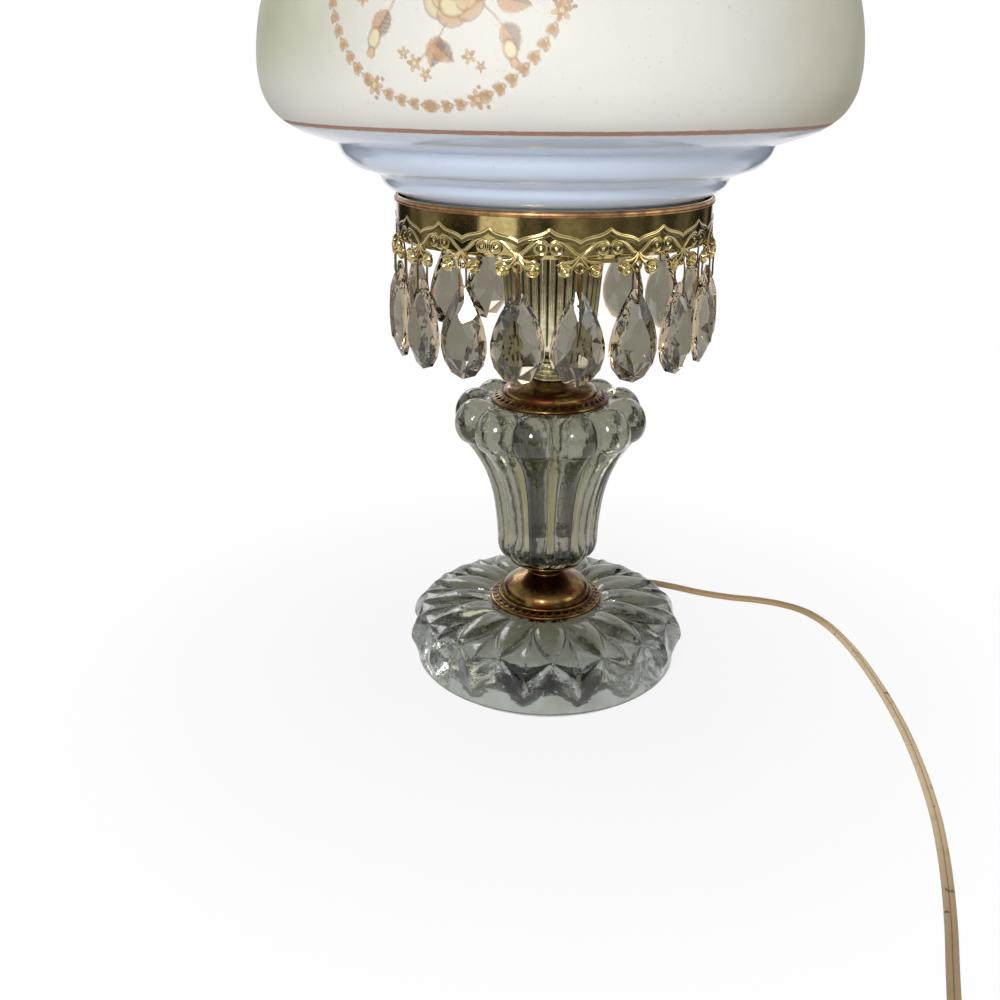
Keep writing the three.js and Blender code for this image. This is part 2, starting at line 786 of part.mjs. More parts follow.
// The shade's outline: a neck inside the ring, two stepped mouldings, the belly and the dome
function milkShade() {
  const domeCentre = shadeMouthRadius;
  const dome = (turn, wall) => {
    const across = shadeBellyRadius - domeCentre - wall;
    const rise = shadeDomeRise - wall;
    return [domeCentre + across * Math.cos(turn), shadeBase + shadeBellyHeight + rise * Math.sin(turn)];
  };
  const lower = shadeBase + shadeLowerStepHeight;
  const upper = shadeBase + shadeUpperStepHeight;
  const belly = shadeBase + shadeBellyHeight;
  const top = shadeBase + shadeHeight;
  const turns = [0, 18, 36, 54, 72].map((turn) => turn * degrees);
  const inner = shadeNeckRadius - shadeWall;
  return turned([
    [inner, shadeBase],
    [shadeNeckRadius, shadeBase],
    [shadeNeckRadius, shadeBase + shadeNeckHeight],
    [shadeNeckRadius + 2.1, shadeBase + shadeNeckHeight + 2.3],
    [shadeLowerStepRadius - 4.0, lower - 5.0],
    [shadeLowerStepRadius, lower],
    [shadeUpperStepRadius - 5.6, upper - 7.8],
    [shadeUpperStepRadius - 1.6, upper - 2.6],
    [shadeUpperStepRadius, upper],
    [shadeBellyRadius - 14.0, belly - 23.8],
    [shadeBellyRadius - 5.4, belly - 17.4],
    [shadeBellyRadius - 1.2, belly - 9.4],
    ...turns.map((turn) => dome(turn, 0)),
    [shadeMouthRadius + shadeWall, top - 11],
    [shadeMouthRadius + shadeWall, top],
    [shadeMouthRadius, top],
    [shadeMouthRadius, top - 12.5],
    ...turns.slice(0, 4).reverse().map((turn) => dome(turn, shadeWall)),
    [shadeBellyRadius - 17.0, belly - 20.8],
    [shadeUpperStepRadius - 2.0, upper + 3.2],
    [shadeUpperStepRadius - 8.6, upper - 6.6],
    [shadeLowerStepRadius - 2.6, lower + 1.6],
    [inner, shadeBase + shadeNeckHeight + 2],
  ], 36);
}

// The cord's way from the bushing, round behind the foot and along the table to the coil
const cordStart = around(bushingStart + bushingLength + cordEndGap, exitAngle, exitHeight);
const coilStartX = coilCentreX + coilOuterRadius;
const coilStartY = coilCentreY + coilLeadIn;
const cordPoints = [
  [cordStart.x, cordStart.y, exitHeight],
  [25.8, 69.5, 4.4],
  [27.6, 74.3, 3.7],
  [32.6, 82.6, 2.4],
  [40.9, 87.9, 1.6],
  [50.5, 89.3, cordLie],
  [60.3, 88.3, cordLie],
  [74.1, 83.0, cordLie],
  [87.5, 76.6, cordLie],
  [103.8, 71.4, cordLie],
  [117.4, 68.9, cordLie],
  [130.2, 64.6, cordLie],
  [141.4, 57.0, cordLie],
  [150.4, 42.5, cordLie],
  [157.3, 17.5, cordLie],
  [161.5, -16.0, cordLie],
  [163.0, -53.6, cordLie],
  [161.8, -85.1, cordLie],
  [158.1, -119.9, cordLie],
  [153.6, -144.7, cordLie],
  [148.4, -167.1, cordLie],
  [142.9, -187.5, cordLie],
  [138.0, -203.9, cordLie],
  [133.6, -219.0, cordLie],
  [131.0, -229.0, cordLie],
  [129.6, -238.0, cordLie],
  [coilStartX, coilStartY + 6.0, cordLie],
  [coilStartX, coilStartY, cordLie],
].map(([x, y, z]) => new THREE.Vector3(x, y, z));

// The flat twin cord lies on its wide side
function cordCurve() {
  return new THREE.CatmullRomCurve3(cordPoints, false, "centripetal");
}

function powerCord() {
  const [high, wide] = [cordThickness / 2, cordWidth / 2];
  const section = new THREE.Shape([
    [high, -0.45 * wide],
    [high, 0.45 * wide],
    [0.5 * high, wide],
    [-0.5 * high, wide],
    [-high, 0.45 * wide],
    [-high, -0.45 * wide],
    [-0.5 * high, -wide],
    [0.5 * high, -wide],
  ].map(([x, y]) => new THREE.Vector2(x, y)));
  const steps = 46;
  return new THREE.ExtrudeGeometry(section, { steps, extrudePath: cordCurve(), bevelEnabled: false });
}

// The coil's middle line: in and out in layers, then out over the table to the plug
function coilPath() {
  const points = [];
  const straight = (length, from, towards) => {
    const count = 2;
    for (let i = 0; i < count; i += 1) {
      points.push(from.clone().addScaledVector(towards, (length * i) / count));
    }
  };
  const lead = coilLeadIn - cordEndGap;
  straight(lead, new THREE.Vector3(coilStartX, coilCentreY + lead, cordLie), new THREE.Vector3(0, -1, 0));
  const layerTurns = coilTurns / coilLayers;
  const steps = Math.round(coilTurns * loopSteps);
  for (let step = 0; step <= steps; step += 1) {
    const turns = (step / steps) * coilTurns;
    const layer = Math.min(Math.floor(turns / layerTurns), coilLayers - 1);
    const within = turns - layer * layerTurns;
    const inwards = layer % 2 === 0 ? within : layerTurns - within;
    let climbed = 0;
    for (let reversal = 1; reversal < coilLayers; reversal += 1) {
      climbed += THREE.MathUtils.smoothstep(turns, reversal * layerTurns - 0.25, reversal * layerTurns + 0.25);
    }
    const radius = coilOuterRadius - coilPitch * inwards;
    const turn = -2 * Math.PI * turns;
    points.push(new THREE.Vector3(
      coilCentreX + radius * Math.cos(turn),
      coilCentreY + radius * Math.sin(turn),
      cordLie + coilLayerPitch * climbed,
    ));
  }
  const top = cordLie + coilLayerPitch * (coilLayers - 1);
  const runSteps = 8;
  for (let step = 1; step <= runSteps; step += 1) {
    const share = step / runSteps;
    const fall = THREE.MathUtils.smoothstep(share, 0.1, 1 - cordWidth / coilRunOut);
    points.push(new THREE.Vector3(
      coilCentreX - coilRunOut * share,
      coilCentreY - coilOuterRadius,
      top + (plugAxis - top) * fall,
    ));
  }
  return points;
}

function coilSections() {
  const [high, wide] = [cordThickness / 2, cordWidth / 2];
  const outline = [[1, 0], [0.48, 1], [-0.48, 1], [-1, 0], [-0.48, -1], [0.48, -1]];
  return sectionsAlong(coilPath(), new THREE.Vector3(0, 0, 1), outline.map(([x, y]) => [x * wide, y * high]));
}

// Least distance between points of the coil's skin that lie more than half a loop apart
function leastCoilGap(sections) {
  let least = Infinity;
  sections.forEach((section, i) => {
    for (let other = i + loopSteps / 2; other < sections.length; other += 1) {
      for (const a of section) {
        for (const b of sections[other]) least = Math.min(least, a.distanceTo(b));
      }
    }
  });
  return least;
}

function cordCoil() {
  const sections = coilSections();
  const coilLength = new THREE.CurvePath();
  const points = coilPath();
  points.slice(1).forEach((point, i) => coilLength.add(new THREE.LineCurve3(points[i], point)));
  const cordLength = (cordCurve().getLength() + coilLength.getLength()) / 1000;
  console.log(`coil: least gap between turns ${leastCoilGap(sections).toFixed(2)} mm`);
  console.log(`cord: ${cordLength.toFixed(2)} m from the foot to the plug`);
  return tubeSkin(sections);
}

const plugTail = coilCentreX - coilRunOut - cordEndGap;

function plugBody() {
  const bevel = 1.6;
  const [tail, nose] = [plugTailWidth / 2 - bevel, plugWidth / 2 - bevel];
  const outline = new THREE.Shape([
    [-bevel, -tail],
    [-0.45 * plugLength, -nose],
    [-plugLength + bevel, -nose],
    [-plugLength + bevel, nose],
    [-0.45 * plugLength, nose],
    [-bevel, tail],
  ].map(([x, y]) => new THREE.Vector2(x, y)));
  const body = new THREE.ExtrudeGeometry(outline, {
    depth: plugThickness - 2 * bevel, bevelThickness: bevel, bevelSize: bevel, bevelSegments: 2,
  });
  body.translate(plugTail, coilCentreY - coilOuterRadius, plugClearOfTable + bevel);
  return body;
}

function plugBlade(side) {
  const blade = new THREE.BoxGeometry(bladeLength, bladeThickness, bladeWidth);
  blade.translate(
    plugTail - plugLength - cordEndGap - bladeLength / 2,
    coilCentreY - coilOuterRadius + (side * bladeSpacing) / 2,
    plugAxis,
  );
  return blade;
}

function hexNut() {
  const outline = new THREE.Shape();
  const corner = nutAcrossFlats / Math.sqrt(3);
  for (let i = 0; i < 6; i += 1) {
    const [x, y] = [corner * Math.cos((i * Math.PI) / 3), corner * Math.sin((i * Math.PI) / 3)];
    if (i === 0) outline.moveTo(x, y);
    else outline.lineTo(x, y);
  }
  outline.closePath();
  const bore = new THREE.Path();
  bore.absarc(0, 0, boreRadius, 0, 2 * Math.PI, true);
  outline.holes.push(bore);
  const nut = new THREE.ExtrudeGeometry(outline, {
    depth: nutThickness, bevelEnabled: false, curveSegments: 8,
  });
  nut.translate(0, 0, nutBase);
  return nut;
}

const washerBase = recessCeiling - seatGap - washerThickness;
const nutBase = washerBase - seatGap - nutThickness;

function tube(inner, outer, bottom, top, segments) {
  return turned([[inner, bottom], [outer, bottom], [outer, top], [inner, top]], segments);
}

const lamp = new THREE.Group();

function add(name, geometry, material, group = lamp) {
  const mesh = new THREE.Mesh(facingOut(geometry), material);
  mesh.name = name;
  group.add(mesh);
  return mesh;
}

const pipe = tube(pipeBore, pipeRadius, nutBase - pipeBelowNut, socketBase + pipeIntoSocket, 16);
add("foot_glass", footGlass(), clearGlass());
add("cord_bushing", cordBushing(), brownPlastic());
add("foot_washer", tube(boreRadius, washerRadius, washerBase, washerBase + washerThickness, 16), zincSteel());
add("foot_nut", hexNut(), zincSteel());
add("threaded_pipe", pipe, zincSteel());
add("foot_cap", dishedCap(footCapBase, footCapHeight), agedBrass());
add("waist_spool", waistSpool(), agedBrass());
add("vase_glass", vaseGlass(), clearGlass());
add("vase_cap", dishedCap(vaseCapBase, capHeight), agedBrass());
add("neck_collar", neckCollar(), polishedBrass());
add("fluted_cup", flutedCup(), polishedBrass());
add("gallery_spider", gallerySpider(), plainBrass());
add("gallery_ring", galleryRing(), polishedBrass());
add("socket_cap", socketCap(), plainBrass());
add("socket_shell", socketShell(), plainBrass());
add("socket_core", socketCore(), porcelain());
add("socket_key", socketKey(), plainBrass());
add("light_bulb", lightBulb(), bulbGlass());
add("milk_shade", milkShade(), milkGlass());

pendantAngles.forEach((angle, i) => {
  const pendant = new THREE.Group();
  pendant.rotation.z = angle;
  const number = String(i + 1).padStart(2, "0");
  const hangs = hookHeight - hangerDrop;
  for (const [name, geometry, material] of [
    ["crystal", crystal(), crystalGlass()],
    ["hanger", hanger(), plainBrass()],
  ]) {
    const mesh = add(`${name}_${number}`, geometry, material, pendant);
    mesh.position.set(0, -hangRadius, hangs);
  }
  lamp.add(pendant);
});

add("power_cord", powerCord(), cordPlastic());
add("cord_coil", cordCoil(), cordPlastic());
add("plug_body", plugBody(), brownPlastic());
add("plug_blade_left", plugBlade(-1), bladeBrass());
add("plug_blade_right", plugBlade(1), bladeBrass());

export default lamp;
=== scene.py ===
import json
import math

import bmesh
import bpy
import numpy as np
from mathutils import Matrix, Vector


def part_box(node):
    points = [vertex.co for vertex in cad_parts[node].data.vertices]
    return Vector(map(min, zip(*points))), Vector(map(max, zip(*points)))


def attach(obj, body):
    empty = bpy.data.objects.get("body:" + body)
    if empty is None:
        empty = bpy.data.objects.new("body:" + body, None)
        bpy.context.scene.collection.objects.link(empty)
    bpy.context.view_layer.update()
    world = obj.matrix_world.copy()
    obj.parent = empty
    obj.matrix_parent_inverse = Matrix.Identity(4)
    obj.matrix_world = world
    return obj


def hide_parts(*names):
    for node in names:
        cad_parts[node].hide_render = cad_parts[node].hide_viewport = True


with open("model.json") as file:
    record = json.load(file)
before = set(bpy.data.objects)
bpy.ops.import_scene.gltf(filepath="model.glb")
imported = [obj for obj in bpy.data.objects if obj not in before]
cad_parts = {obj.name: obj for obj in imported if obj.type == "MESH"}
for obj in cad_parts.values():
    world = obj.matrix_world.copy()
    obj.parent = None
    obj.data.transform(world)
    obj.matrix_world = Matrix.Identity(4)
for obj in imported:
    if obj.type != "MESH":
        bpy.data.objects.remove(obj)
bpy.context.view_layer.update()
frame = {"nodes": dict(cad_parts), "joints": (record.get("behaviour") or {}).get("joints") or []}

bl_info = {
    "name": "Boudoir lamp",
    "version": (1, 0, 0),
    "blender": (4, 5, 0),
    "location": "3D View > Sidebar > Lamp",
    "description": "Makes the glass, brass, crystal and cord pieces of a boudoir table lamp",
    "category": "Object",
}

MM = 0.001
FULL_TURN = 2 * math.pi


def lowest(node):
    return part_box(node)[0].z


def highest(node):
    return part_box(node)[1].z


def halfway_up(node):
    return (lowest(node) + highest(node)) / 2


# Sizes and colours that a user would change


def length(name, description, default):
    return bpy.props.FloatProperty(
        name=name, description=description, default=default, unit="LENGTH", precision=5)


def count(name, description, default):
    return bpy.props.IntProperty(name=name, description=description, default=default, min=3)


def turn(name, description, degrees):
    return bpy.props.FloatProperty(
        name=name, description=description, default=math.radians(degrees), subtype="ANGLE")


def linear(red, green, blue):
    """A colour given as screen values from 0 to 255, as light values from 0 to 1."""
    return tuple(
        v / 12.92 if v <= 0.04045 else ((v + 0.055) / 1.055) ** 2.4
        for v in (red / 255, green / 255, blue / 255))


def colour(name, description, red, green, blue):
    return bpy.props.FloatVectorProperty(
        name=name, description=description, default=linear(red, green, blue),
        subtype="COLOR", size=3, min=0, max=1)


class FootSizes(bpy.types.PropertyGroup):
    petals: count("Petals", "Points round the glass foot", 16)
    first_petal: turn("First petal", "Angle of one point from the front", 14.4)
    seat: length("Seat", "Radius of the flat under the brass cap", 0.0285)
    leaf: length("Leaf", "Radius where two upper petals part", 0.037)
    leaf_height: length("Leaf height", "Height where two upper petals part", 0.0353)
    notch: length("Notch", "Radius of the upper petals' points", 0.061)
    notch_height: length("Notch height", "Height of the upper petals' points", 0.0313)
    tip: length("Tip", "Radius of the lower petals' points", 0.0675)
    tip_height: length("Tip height", "Height of the lower petals' points", 0.020)
    crown: length("Crown", "Height of an upper petal's swelling", 0.0033)
    shoulder: length("Shoulder", "Swelling of a lower petal over its chord", 0.0070)


class VaseSizes(bpy.types.PropertyGroup):
    lobes: count("Lobes", "Lobes round the vase", 12)
    first_lobe: turn("First lobe", "Angle of one lobe from the front", 19.0)
    floor: length("Floor", "Thickness of the glass under the well", 0.015)
    strip: bpy.props.FloatProperty(
        name="Strip", description="Share of a lobe's width that the flat strip takes",
        default=0.17, min=0, max=0.5)


class BrassSizes(bpy.types.PropertyGroup):
    dents: count("Dents", "Dents round the rim of a cap", 40)
    dent_depth: length("Dent depth", "Depth of a dent in a cap's rim", 0.00055)
    reeds: count("Reeds", "Reeds round the socket cup", 36)
    reed_depth: length("Reed depth", "Depth of the groove between two reeds", 0.0009)


class RingSizes(bpy.types.PropertyGroup):
    bays: count("Bays", "Arches round the ring, and drops under it", 18)
    first_joint: turn("First joint", "Angle of one joint of the arches from the front", 8.8)
    line: length("Raised line", "Half width of an embossed line", 0.00038)
    relief: length("Relief", "Height of an embossed line", 0.00032)
    curl: length("Curl", "Radius of a rolled curl", 0.0028)
    curl_spread: length("Curl spread", "Distance of a curl from its joint", 0.006)


class DropSizes(bpy.types.PropertyGroup):
    height: length("Height", "Height of a drop", 0.038)
    width: length("Width", "Width of a drop", 0.0224)
    thickness: length("Thickness", "Thickness of a drop", 0.0092)
    hole: length("Hole", "Radius of the hole for the hanger", 0.0009)
    wire: length("Wire", "Radius of the hanger's wire", 0.0004)


class ShadeSizes(bpy.types.PropertyGroup):
    stripe_height: length("Stripe height", "Height of the painted line over the table", 0.2596)
    stripe_width: length("Stripe width", "Width of the painted line", 0.0015)
    print_turn: turn("Print", "Angle of the printed wreath from the front", -18.8)
    print_height: length("Print height", "Height of the wreath's middle over the table", 0.3105)
    print_reach: length("Print reach", "Radius of the wreath", 0.0435)


class CordSizes(bpy.types.PropertyGroup):
    width: length("Width", "Width of the flat twin cord", 0.0046)
    thickness: length("Thickness", "Thickness of the flat twin cord", 0.0026)


class Colours(bpy.types.PropertyGroup):
    clear_glass: colour("Clear glass", "Tint of the vase", 142, 140, 124)
    # The petals' tint is much darker than the rim's: painted shade
    foot_glass: colour("Foot glass", "Tint of the foot's petals", 56, 54, 38)
    rim_glass: colour("Rim glass", "Tint of the foot's rim", 166, 172, 164)
    strip_glass: colour("Glass strips", "Tint of the flat strips between the lobes", 206, 200, 156)
    crystal: colour("Crystal", "Tint of the drops", 136, 131, 116)
    milk: colour("Milk glass", "Belly of the shade", 240, 237, 228)
    milk_ring: colour("Stepped rings", "Stepped rings under the belly", 220, 232, 252)
    stripe: colour("Stripe", "Painted line round the shade", 176, 132, 118)
    brass: colour("Brass", "Bright brass of the ring, cup and collar", 190, 168, 106)
    patina: colour("Patina", "Aged brass of the caps and the waist", 112, 86, 50)
    bead: colour("Bead", "Coppery bead on top of the ring", 150, 112, 78)
    cord: colour("Cord", "Tan vinyl of the cord", 250, 221, 178)


GROUPS = {
    "lamp_foot": FootSizes, "lamp_vase": VaseSizes, "lamp_brass": BrassSizes,
    "lamp_ring": RingSizes, "lamp_drop": DropSizes, "lamp_shade": ShadeSizes,
    "lamp_cord": CordSizes, "lamp_colours": Colours,
}


# Shader maths


class Wire:
    """A value or colour on its way through a material's nodes."""

    def __init__(self, paint, socket):
        self.paint = paint
        self.socket = socket

    def maths(self, operation, *values):
        return self.paint.node("ShaderNodeMath", {"operation": operation}, dict(enumerate(values)))

    def __add__(self, other):
        return self.maths("ADD", self, other)

    def __sub__(self, other):
        return self.maths("SUBTRACT", self, other)

    def __rsub__(self, other):
        return self.maths("SUBTRACT", other, self)

    def __mul__(self, other):
        return self.maths("MULTIPLY", self, other)

    def __abs__(self):
        return self.maths("ABSOLUTE", self)

    __radd__ = __add__
    __rmul__ = __mul__

    def between(self, low, high):
        """0 under low and 1 over high, with a soft step between them. It falls where low > high."""
        return self.paint.node("ShaderNodeMapRange", {"interpolation_type": "SMOOTHSTEP"}, {
            "Value": self, "From Min": low, "From Max": high})


class Paint:
    """A new material, or a world, and its nodes."""

    def __init__(self, name, world=None):
        self.material = world or bpy.data.materials.new(name)
        self.material.use_nodes = True
        self.tree = self.material.node_tree
        self.tree.nodes.clear()

    def node(self, kind, settings=None, inputs=None, output=0):
        """A node with these settings and socket values, as the value of one of its outputs."""
        made = self.tree.nodes.new(kind)
        for name, value in (settings or {}).items():
            setattr(made, name, value)
        for name, value in (inputs or {}).items():
            if isinstance(name, int):
                socket = made.inputs[name]
            else:
                socket = next(s for s in made.inputs if s.name == name and s.enabled)
            if isinstance(value, Wire):
                self.tree.links.new(value.socket, socket)
            elif socket.type == "RGBA" and len(value) == 3:
                socket.default_value = (*value, 1)
            else:
                socket.default_value = value
        if isinstance(output, int):
            live = [s for s in made.outputs if s.enabled]
            return Wire(self, live[output])
        return Wire(self, made.outputs[output])

    def place(self):
        return self.node("ShaderNodeTexCoord", output="Object")

    def axes(self):
        """The place on the object as three values."""
        place = self.place()
        return [self.node("ShaderNodeSeparateXYZ", {}, {0: place}, axis) for axis in "XYZ"]

    def from_axis(self):
        """The distance from the lamp's axis."""
        x, y, _ = self.axes()
        square = x * x + y * y
        return square.maths("SQRT", square)

    def noise(self, size, detail=3.0, roughness=0.55, stretch=(1, 1, 1)):
        """Cloudy values round 0.5 whose patches are about this size, in metres."""
        at = self.node("ShaderNodeMapping", {}, {"Vector": self.place(), "Scale": stretch})
        return self.node("ShaderNodeTexNoise", {}, {
            "Vector": at, "Scale": 1 / size, "Detail": detail, "Roughness": roughness}, "Fac")

    def attribute(self, name, output="Fac"):
        return self.node("ShaderNodeAttribute", {"attribute_name": name}, {}, output)

    def blend(self, share, first, second):
        return self.node("ShaderNodeMix", {"data_type": "RGBA"}, {
            "Factor": share, "A": first, "B": second})

    def bump(self, height, distance, strength=1.0):
        return self.node("ShaderNodeBump", {}, {
            "Height": height, "Distance": distance, "Strength": strength})

    def principled(self, **sockets):
        """A Principled shader whose sockets have these values."""
        named = {name.replace("_", " ").title().replace("Ior", "IOR"): value
                 for name, value in sockets.items()}
        return self.node("ShaderNodeBsdfPrincipled", {}, named)

    def surface(self, **sockets):
        """Ends the material in a Principled shader whose sockets have these values."""
        self.end(self.principled(**sockets))
        return self.material

    def end(self, shader, kind="ShaderNodeOutputMaterial"):
        out = self.tree.nodes.new(kind)
        self.tree.links.new(shader.socket, out.inputs["Surface"])


def dark(tint, share):
    return tuple(share * value for value in tint)


def chosen(name):
    """The colour that has this name in the panel."""
    return tuple(getattr(bpy.context.scene.lamp_colours, name))


# Materials

# Heights over the table between which one finish passes into the next
RIM_TO_PETALS = (0.035, 0.024)
FOOT_TO_VASE = (0.05, 0.06)
RINGS_TO_BELLY = (0.2565, 0.2600)
UPPER_TO_LOWER_RING = (0.2385, 0.2365)
CLEAR_TO_GREEN = (0.262, 0.295)
# Radii between which the shade's inside ends and its outside starts at the painted line
INSIDE_TO_OUTSIDE = (0.1065, 0.108)
# Places from back to front between which the cord's colour changes
CORD_TO_BACK = (0.02, 0.06)
CORD_PAINTED_SHADE_TO_COIL = (-0.1, -0.2)


def pressed_glass(name):
    """Pressed glass with a wavy skin: olive on the foot, greyer in its rim, yellow in strips. The
    petals' darker olive against the rim is painted shade.
    """
    paint = Paint(name)
    z = paint.axes()[2]
    # Painted shade: the petals are tinted far darker than the rim below them
    foot = paint.blend(z.between(*RIM_TO_PETALS), chosen("foot_glass"), chosen("rim_glass"))
    glass = paint.blend(z.between(*FOOT_TO_VASE), foot, chosen("clear_glass"))
    clouds = paint.noise(0.016).between(0.35, 0.7)
    glass = paint.blend(clouds * 0.4, glass, linear(88, 86, 72))
    wave = paint.noise(0.006, detail=3.0, roughness=0.6)
    clear = paint.principled(
        base_color=glass, roughness=0.02, transmission_weight=1.0, ior=1.5,
        normal=paint.bump(wave, 0.0007, 0.5))
    cloudy = paint.node("ShaderNodeBsdfDiffuse", {}, {"Color": chosen("strip_glass")})
    share = paint.attribute("strip") * 0.5
    paint.end(paint.node("ShaderNodeMixShader", {}, {0: share, 1: clear, 2: cloudy}))
    return paint.material


def crystal_glass():
    """Clear cut glass with a warm tint, slightly uneven polish, and pinkish-beige painted light along
    its edges.
    """
    paint = Paint("crystal glass")
    tint = chosen("crystal")
    clouds = paint.noise(0.012).between(0.3, 0.7)
    glass = paint.blend(clouds, tint, dark(tint, 0.85))
    # Painted light: the drop's edges are tinted pinkish beige
    glass = paint.blend(paint.attribute("rim"), glass, linear(206, 182, 150))
    return paint.surface(
        base_color=glass, roughness=0.01, transmission_weight=1.0, ior=1.54)


def milk_glass():
    """Opal glass: a satin belly with airbrushed tints over glossy bluish rings. The tints also paint
    shade on the belly's sides, and the lower ring is painted a little darker as shade.
    """
    paint = Paint("milk glass")
    sizes = bpy.context.scene.lamp_shade
    x, y, z = paint.axes()
    angle = x.maths("ARCTAN2", x, -1 * y)
    belly = z.between(*RINGS_TO_BELLY)
    clouds = paint.noise(0.03)
    milk = paint.blend(clouds.between(0.35, 0.7), chosen("milk"), linear(236, 234, 227))
    # Green and beige clouds at the left and the right: airbrushed tints that also darken the belly's
    # sides as painted shade
    green_tint_and_side_shade = angle.between(-0.32, -1.1) * angle.between(-2.2, -1.3)
    green_tint_and_side_shade = green_tint_and_side_shade * z.between(*CLEAR_TO_GREEN) * (0.6 + 0.6 * clouds)
    milk = paint.blend(green_tint_and_side_shade * 0.8, milk, linear(184, 185, 146))
    beige_tint_and_side_shade = angle.between(0.35, 1.05) * angle.between(2.3, 1.2) * (0.5 + 0.7 * clouds)
    milk = paint.blend(beige_tint_and_side_shade * 0.75, milk, linear(204, 197, 166))
    ring = chosen("milk_ring")
    # Painted shade: the lower ring is a little darker than the upper one
    ringed = paint.blend(z.between(*UPPER_TO_LOWER_RING), ring, dark(ring, 0.95))
    body = paint.blend(belly, ringed, milk)
    wobble = (paint.noise(0.004, detail=2.0) - 0.5) * 0.0005
    off_line = abs(z + wobble - sizes.stripe_height)
    half = sizes.stripe_width / 2
    stripe = off_line.between(half * 1.25, half * 0.75)
    stripe = stripe * paint.from_axis().between(*INSIDE_TO_OUTSIDE)
    worn = paint.noise(0.0015, detail=4.0).between(0.28, 0.42) * 0.25 + 0.75
    body = paint.blend(stripe * worn, body, chosen("stripe"))
    speck = paint.noise(0.0012, detail=1.0).between(0.72, 0.76)
    body = paint.blend(speck * 0.3, body, linear(170, 160, 146))
    rough = belly * 0.45 + 0.12 + clouds * 0.05
    return paint.surface(
        base_color=body, roughness=rough, ior=1.42, coat_weight=(1 - belly) * 0.25, coat_roughness=0.1,
        normal=paint.bump(paint.noise(0.012, detail=1.5), 0.0003, 0.25))


def printed_colours():
    """The print's colours and cover, which its mesh carries."""
    paint = Paint("printed colours")
    grain = paint.noise(0.0006, detail=2.0).between(0.2, 0.75)
    ink = paint.blend(grain * 0.18, paint.attribute("ink", "Color"), linear(240, 234, 220))
    return paint.surface(
        base_color=ink, roughness=0.42, alpha=paint.attribute("cover"))


def worn_metal(name, metal, stain_and_shade, glow, rough, stain, lacquer):
    """Metal with lighter and stained patches, fine pits and scratches, painted shade beside the lines of
    its relief and a painted highlight on top of them, which also stands for rubbed wear."""
    paint = Paint(name)
    patches = paint.noise(0.009, detail=5.0, roughness=0.62)
    specks = paint.noise(0.0016, detail=4.0, roughness=0.7)
    stained = patches.between(0.42, 0.66) * stain
    body = paint.blend(patches.between(0.62, 0.34), metal, glow)
    body = paint.blend(stained, body, stain_and_shade)
    body = paint.blend(specks.between(0.6, 0.72) * stain, body, dark(stain_and_shade, 0.5))
    # Painted shade beside the lines of a relief, in dents and in grooves, and a painted highlight on the
    # lines' tops, which also stands for rubbed wear
    relief = paint.attribute("relief")
    beside = relief.between(0.03, 0.2) * relief.between(0.8, 0.45)
    body = paint.blend(beside * 0.8, body, dark(stain_and_shade, 0.35))
    painted_highlight_and_wear = tuple(min(1.3 * value, 1) for value in glow)
    body = paint.blend(relief.between(0.6, 0.95) * 0.6, body, painted_highlight_and_wear)
    scratch = paint.noise(0.003, detail=3.0, stretch=(1, 1, 12))
    return paint.surface(
        base_color=body, metallic=1.0,
        roughness=rough + stained * 0.18 + scratch.between(0.5, 0.8) * 0.06,
        coat_weight=lacquer, normal=paint.bump(specks, 0.00006, 0.5))


# Colour, or the name of a colour in the panel, stain and painted shade, light patches and painted
# highlights, roughness, how much is stained, and lacquer
METALS = {
    "bright brass": ("brass", linear(96, 84, 50), linear(208, 190, 134), 0.1, 0.25, 0.2),
    "cup brass": (linear(206, 198, 160), linear(120, 108, 68), linear(226, 220, 190), 0.14, 0.4, 0.2),
    "aged brass": ("patina", linear(84, 46, 24), linear(130, 106, 62), 0.19, 1.0, 0),
    "bead copper": ("bead", linear(104, 70, 46), linear(186, 142, 96), 0.3, 0.6, 0),
    "plain brass": (linear(176, 146, 88), linear(92, 66, 36), linear(196, 168, 108), 0.3, 0.5, 0),
    "blade brass": (linear(206, 178, 112), linear(130, 104, 60), linear(226, 204, 146), 0.24, 0.4, 0),
    "hanger copper": (linear(120, 90, 56), linear(66, 46, 28), linear(156, 122, 80), 0.3, 0.6, 0),
    "zinc steel": (linear(168, 170, 172), linear(110, 108, 104), linear(190, 192, 194), 0.32, 0.4, 0),
}


def metal_finish(name):
    """The metal of this name, made once."""
    if name not in bpy.data.materials:
        tint, *rest = METALS[name]
        if isinstance(tint, str):
            tint = chosen(tint)
        worn_metal(name, tint, *rest)
    return bpy.data.materials[name]


def moulded(name, tint, rough, grain_size, grain_depth, coat=0.0):
    """Plastic or glaze with clouds of a slightly darker colour and a fine grain."""
    paint = Paint(name)
    clouds = paint.noise(0.006, detail=4.0)
    mixed = paint.blend(clouds.between(0.35, 0.7), tint, dark(tint, 0.82))
    return paint.surface(
        base_color=mixed, roughness=clouds * 0.12 + rough, coat_weight=coat,
        normal=paint.bump(paint.noise(grain_size, detail=2.0), grain_depth, 0.6))


def bulb_finish():
    """White frosted glass over a plain screw base."""
    paint = Paint("bulb finish")
    seam = 0.0002
    z = paint.axes()[2]
    glass = z.between(BULB_METAL_TOP - seam, BULB_METAL_TOP + seam)
    clouds = paint.noise(0.02)
    white = paint.blend(clouds, linear(246, 244, 236), linear(236, 233, 224))
    metal = paint.blend(clouds.between(0.4, 0.7), linear(176, 160, 110), linear(120, 100, 62))
    return paint.surface(
        base_color=paint.blend(glass, metal, white), metallic=1 - glass,
        roughness=0.28 + clouds * 0.08, coat_weight=glass * 0.3)


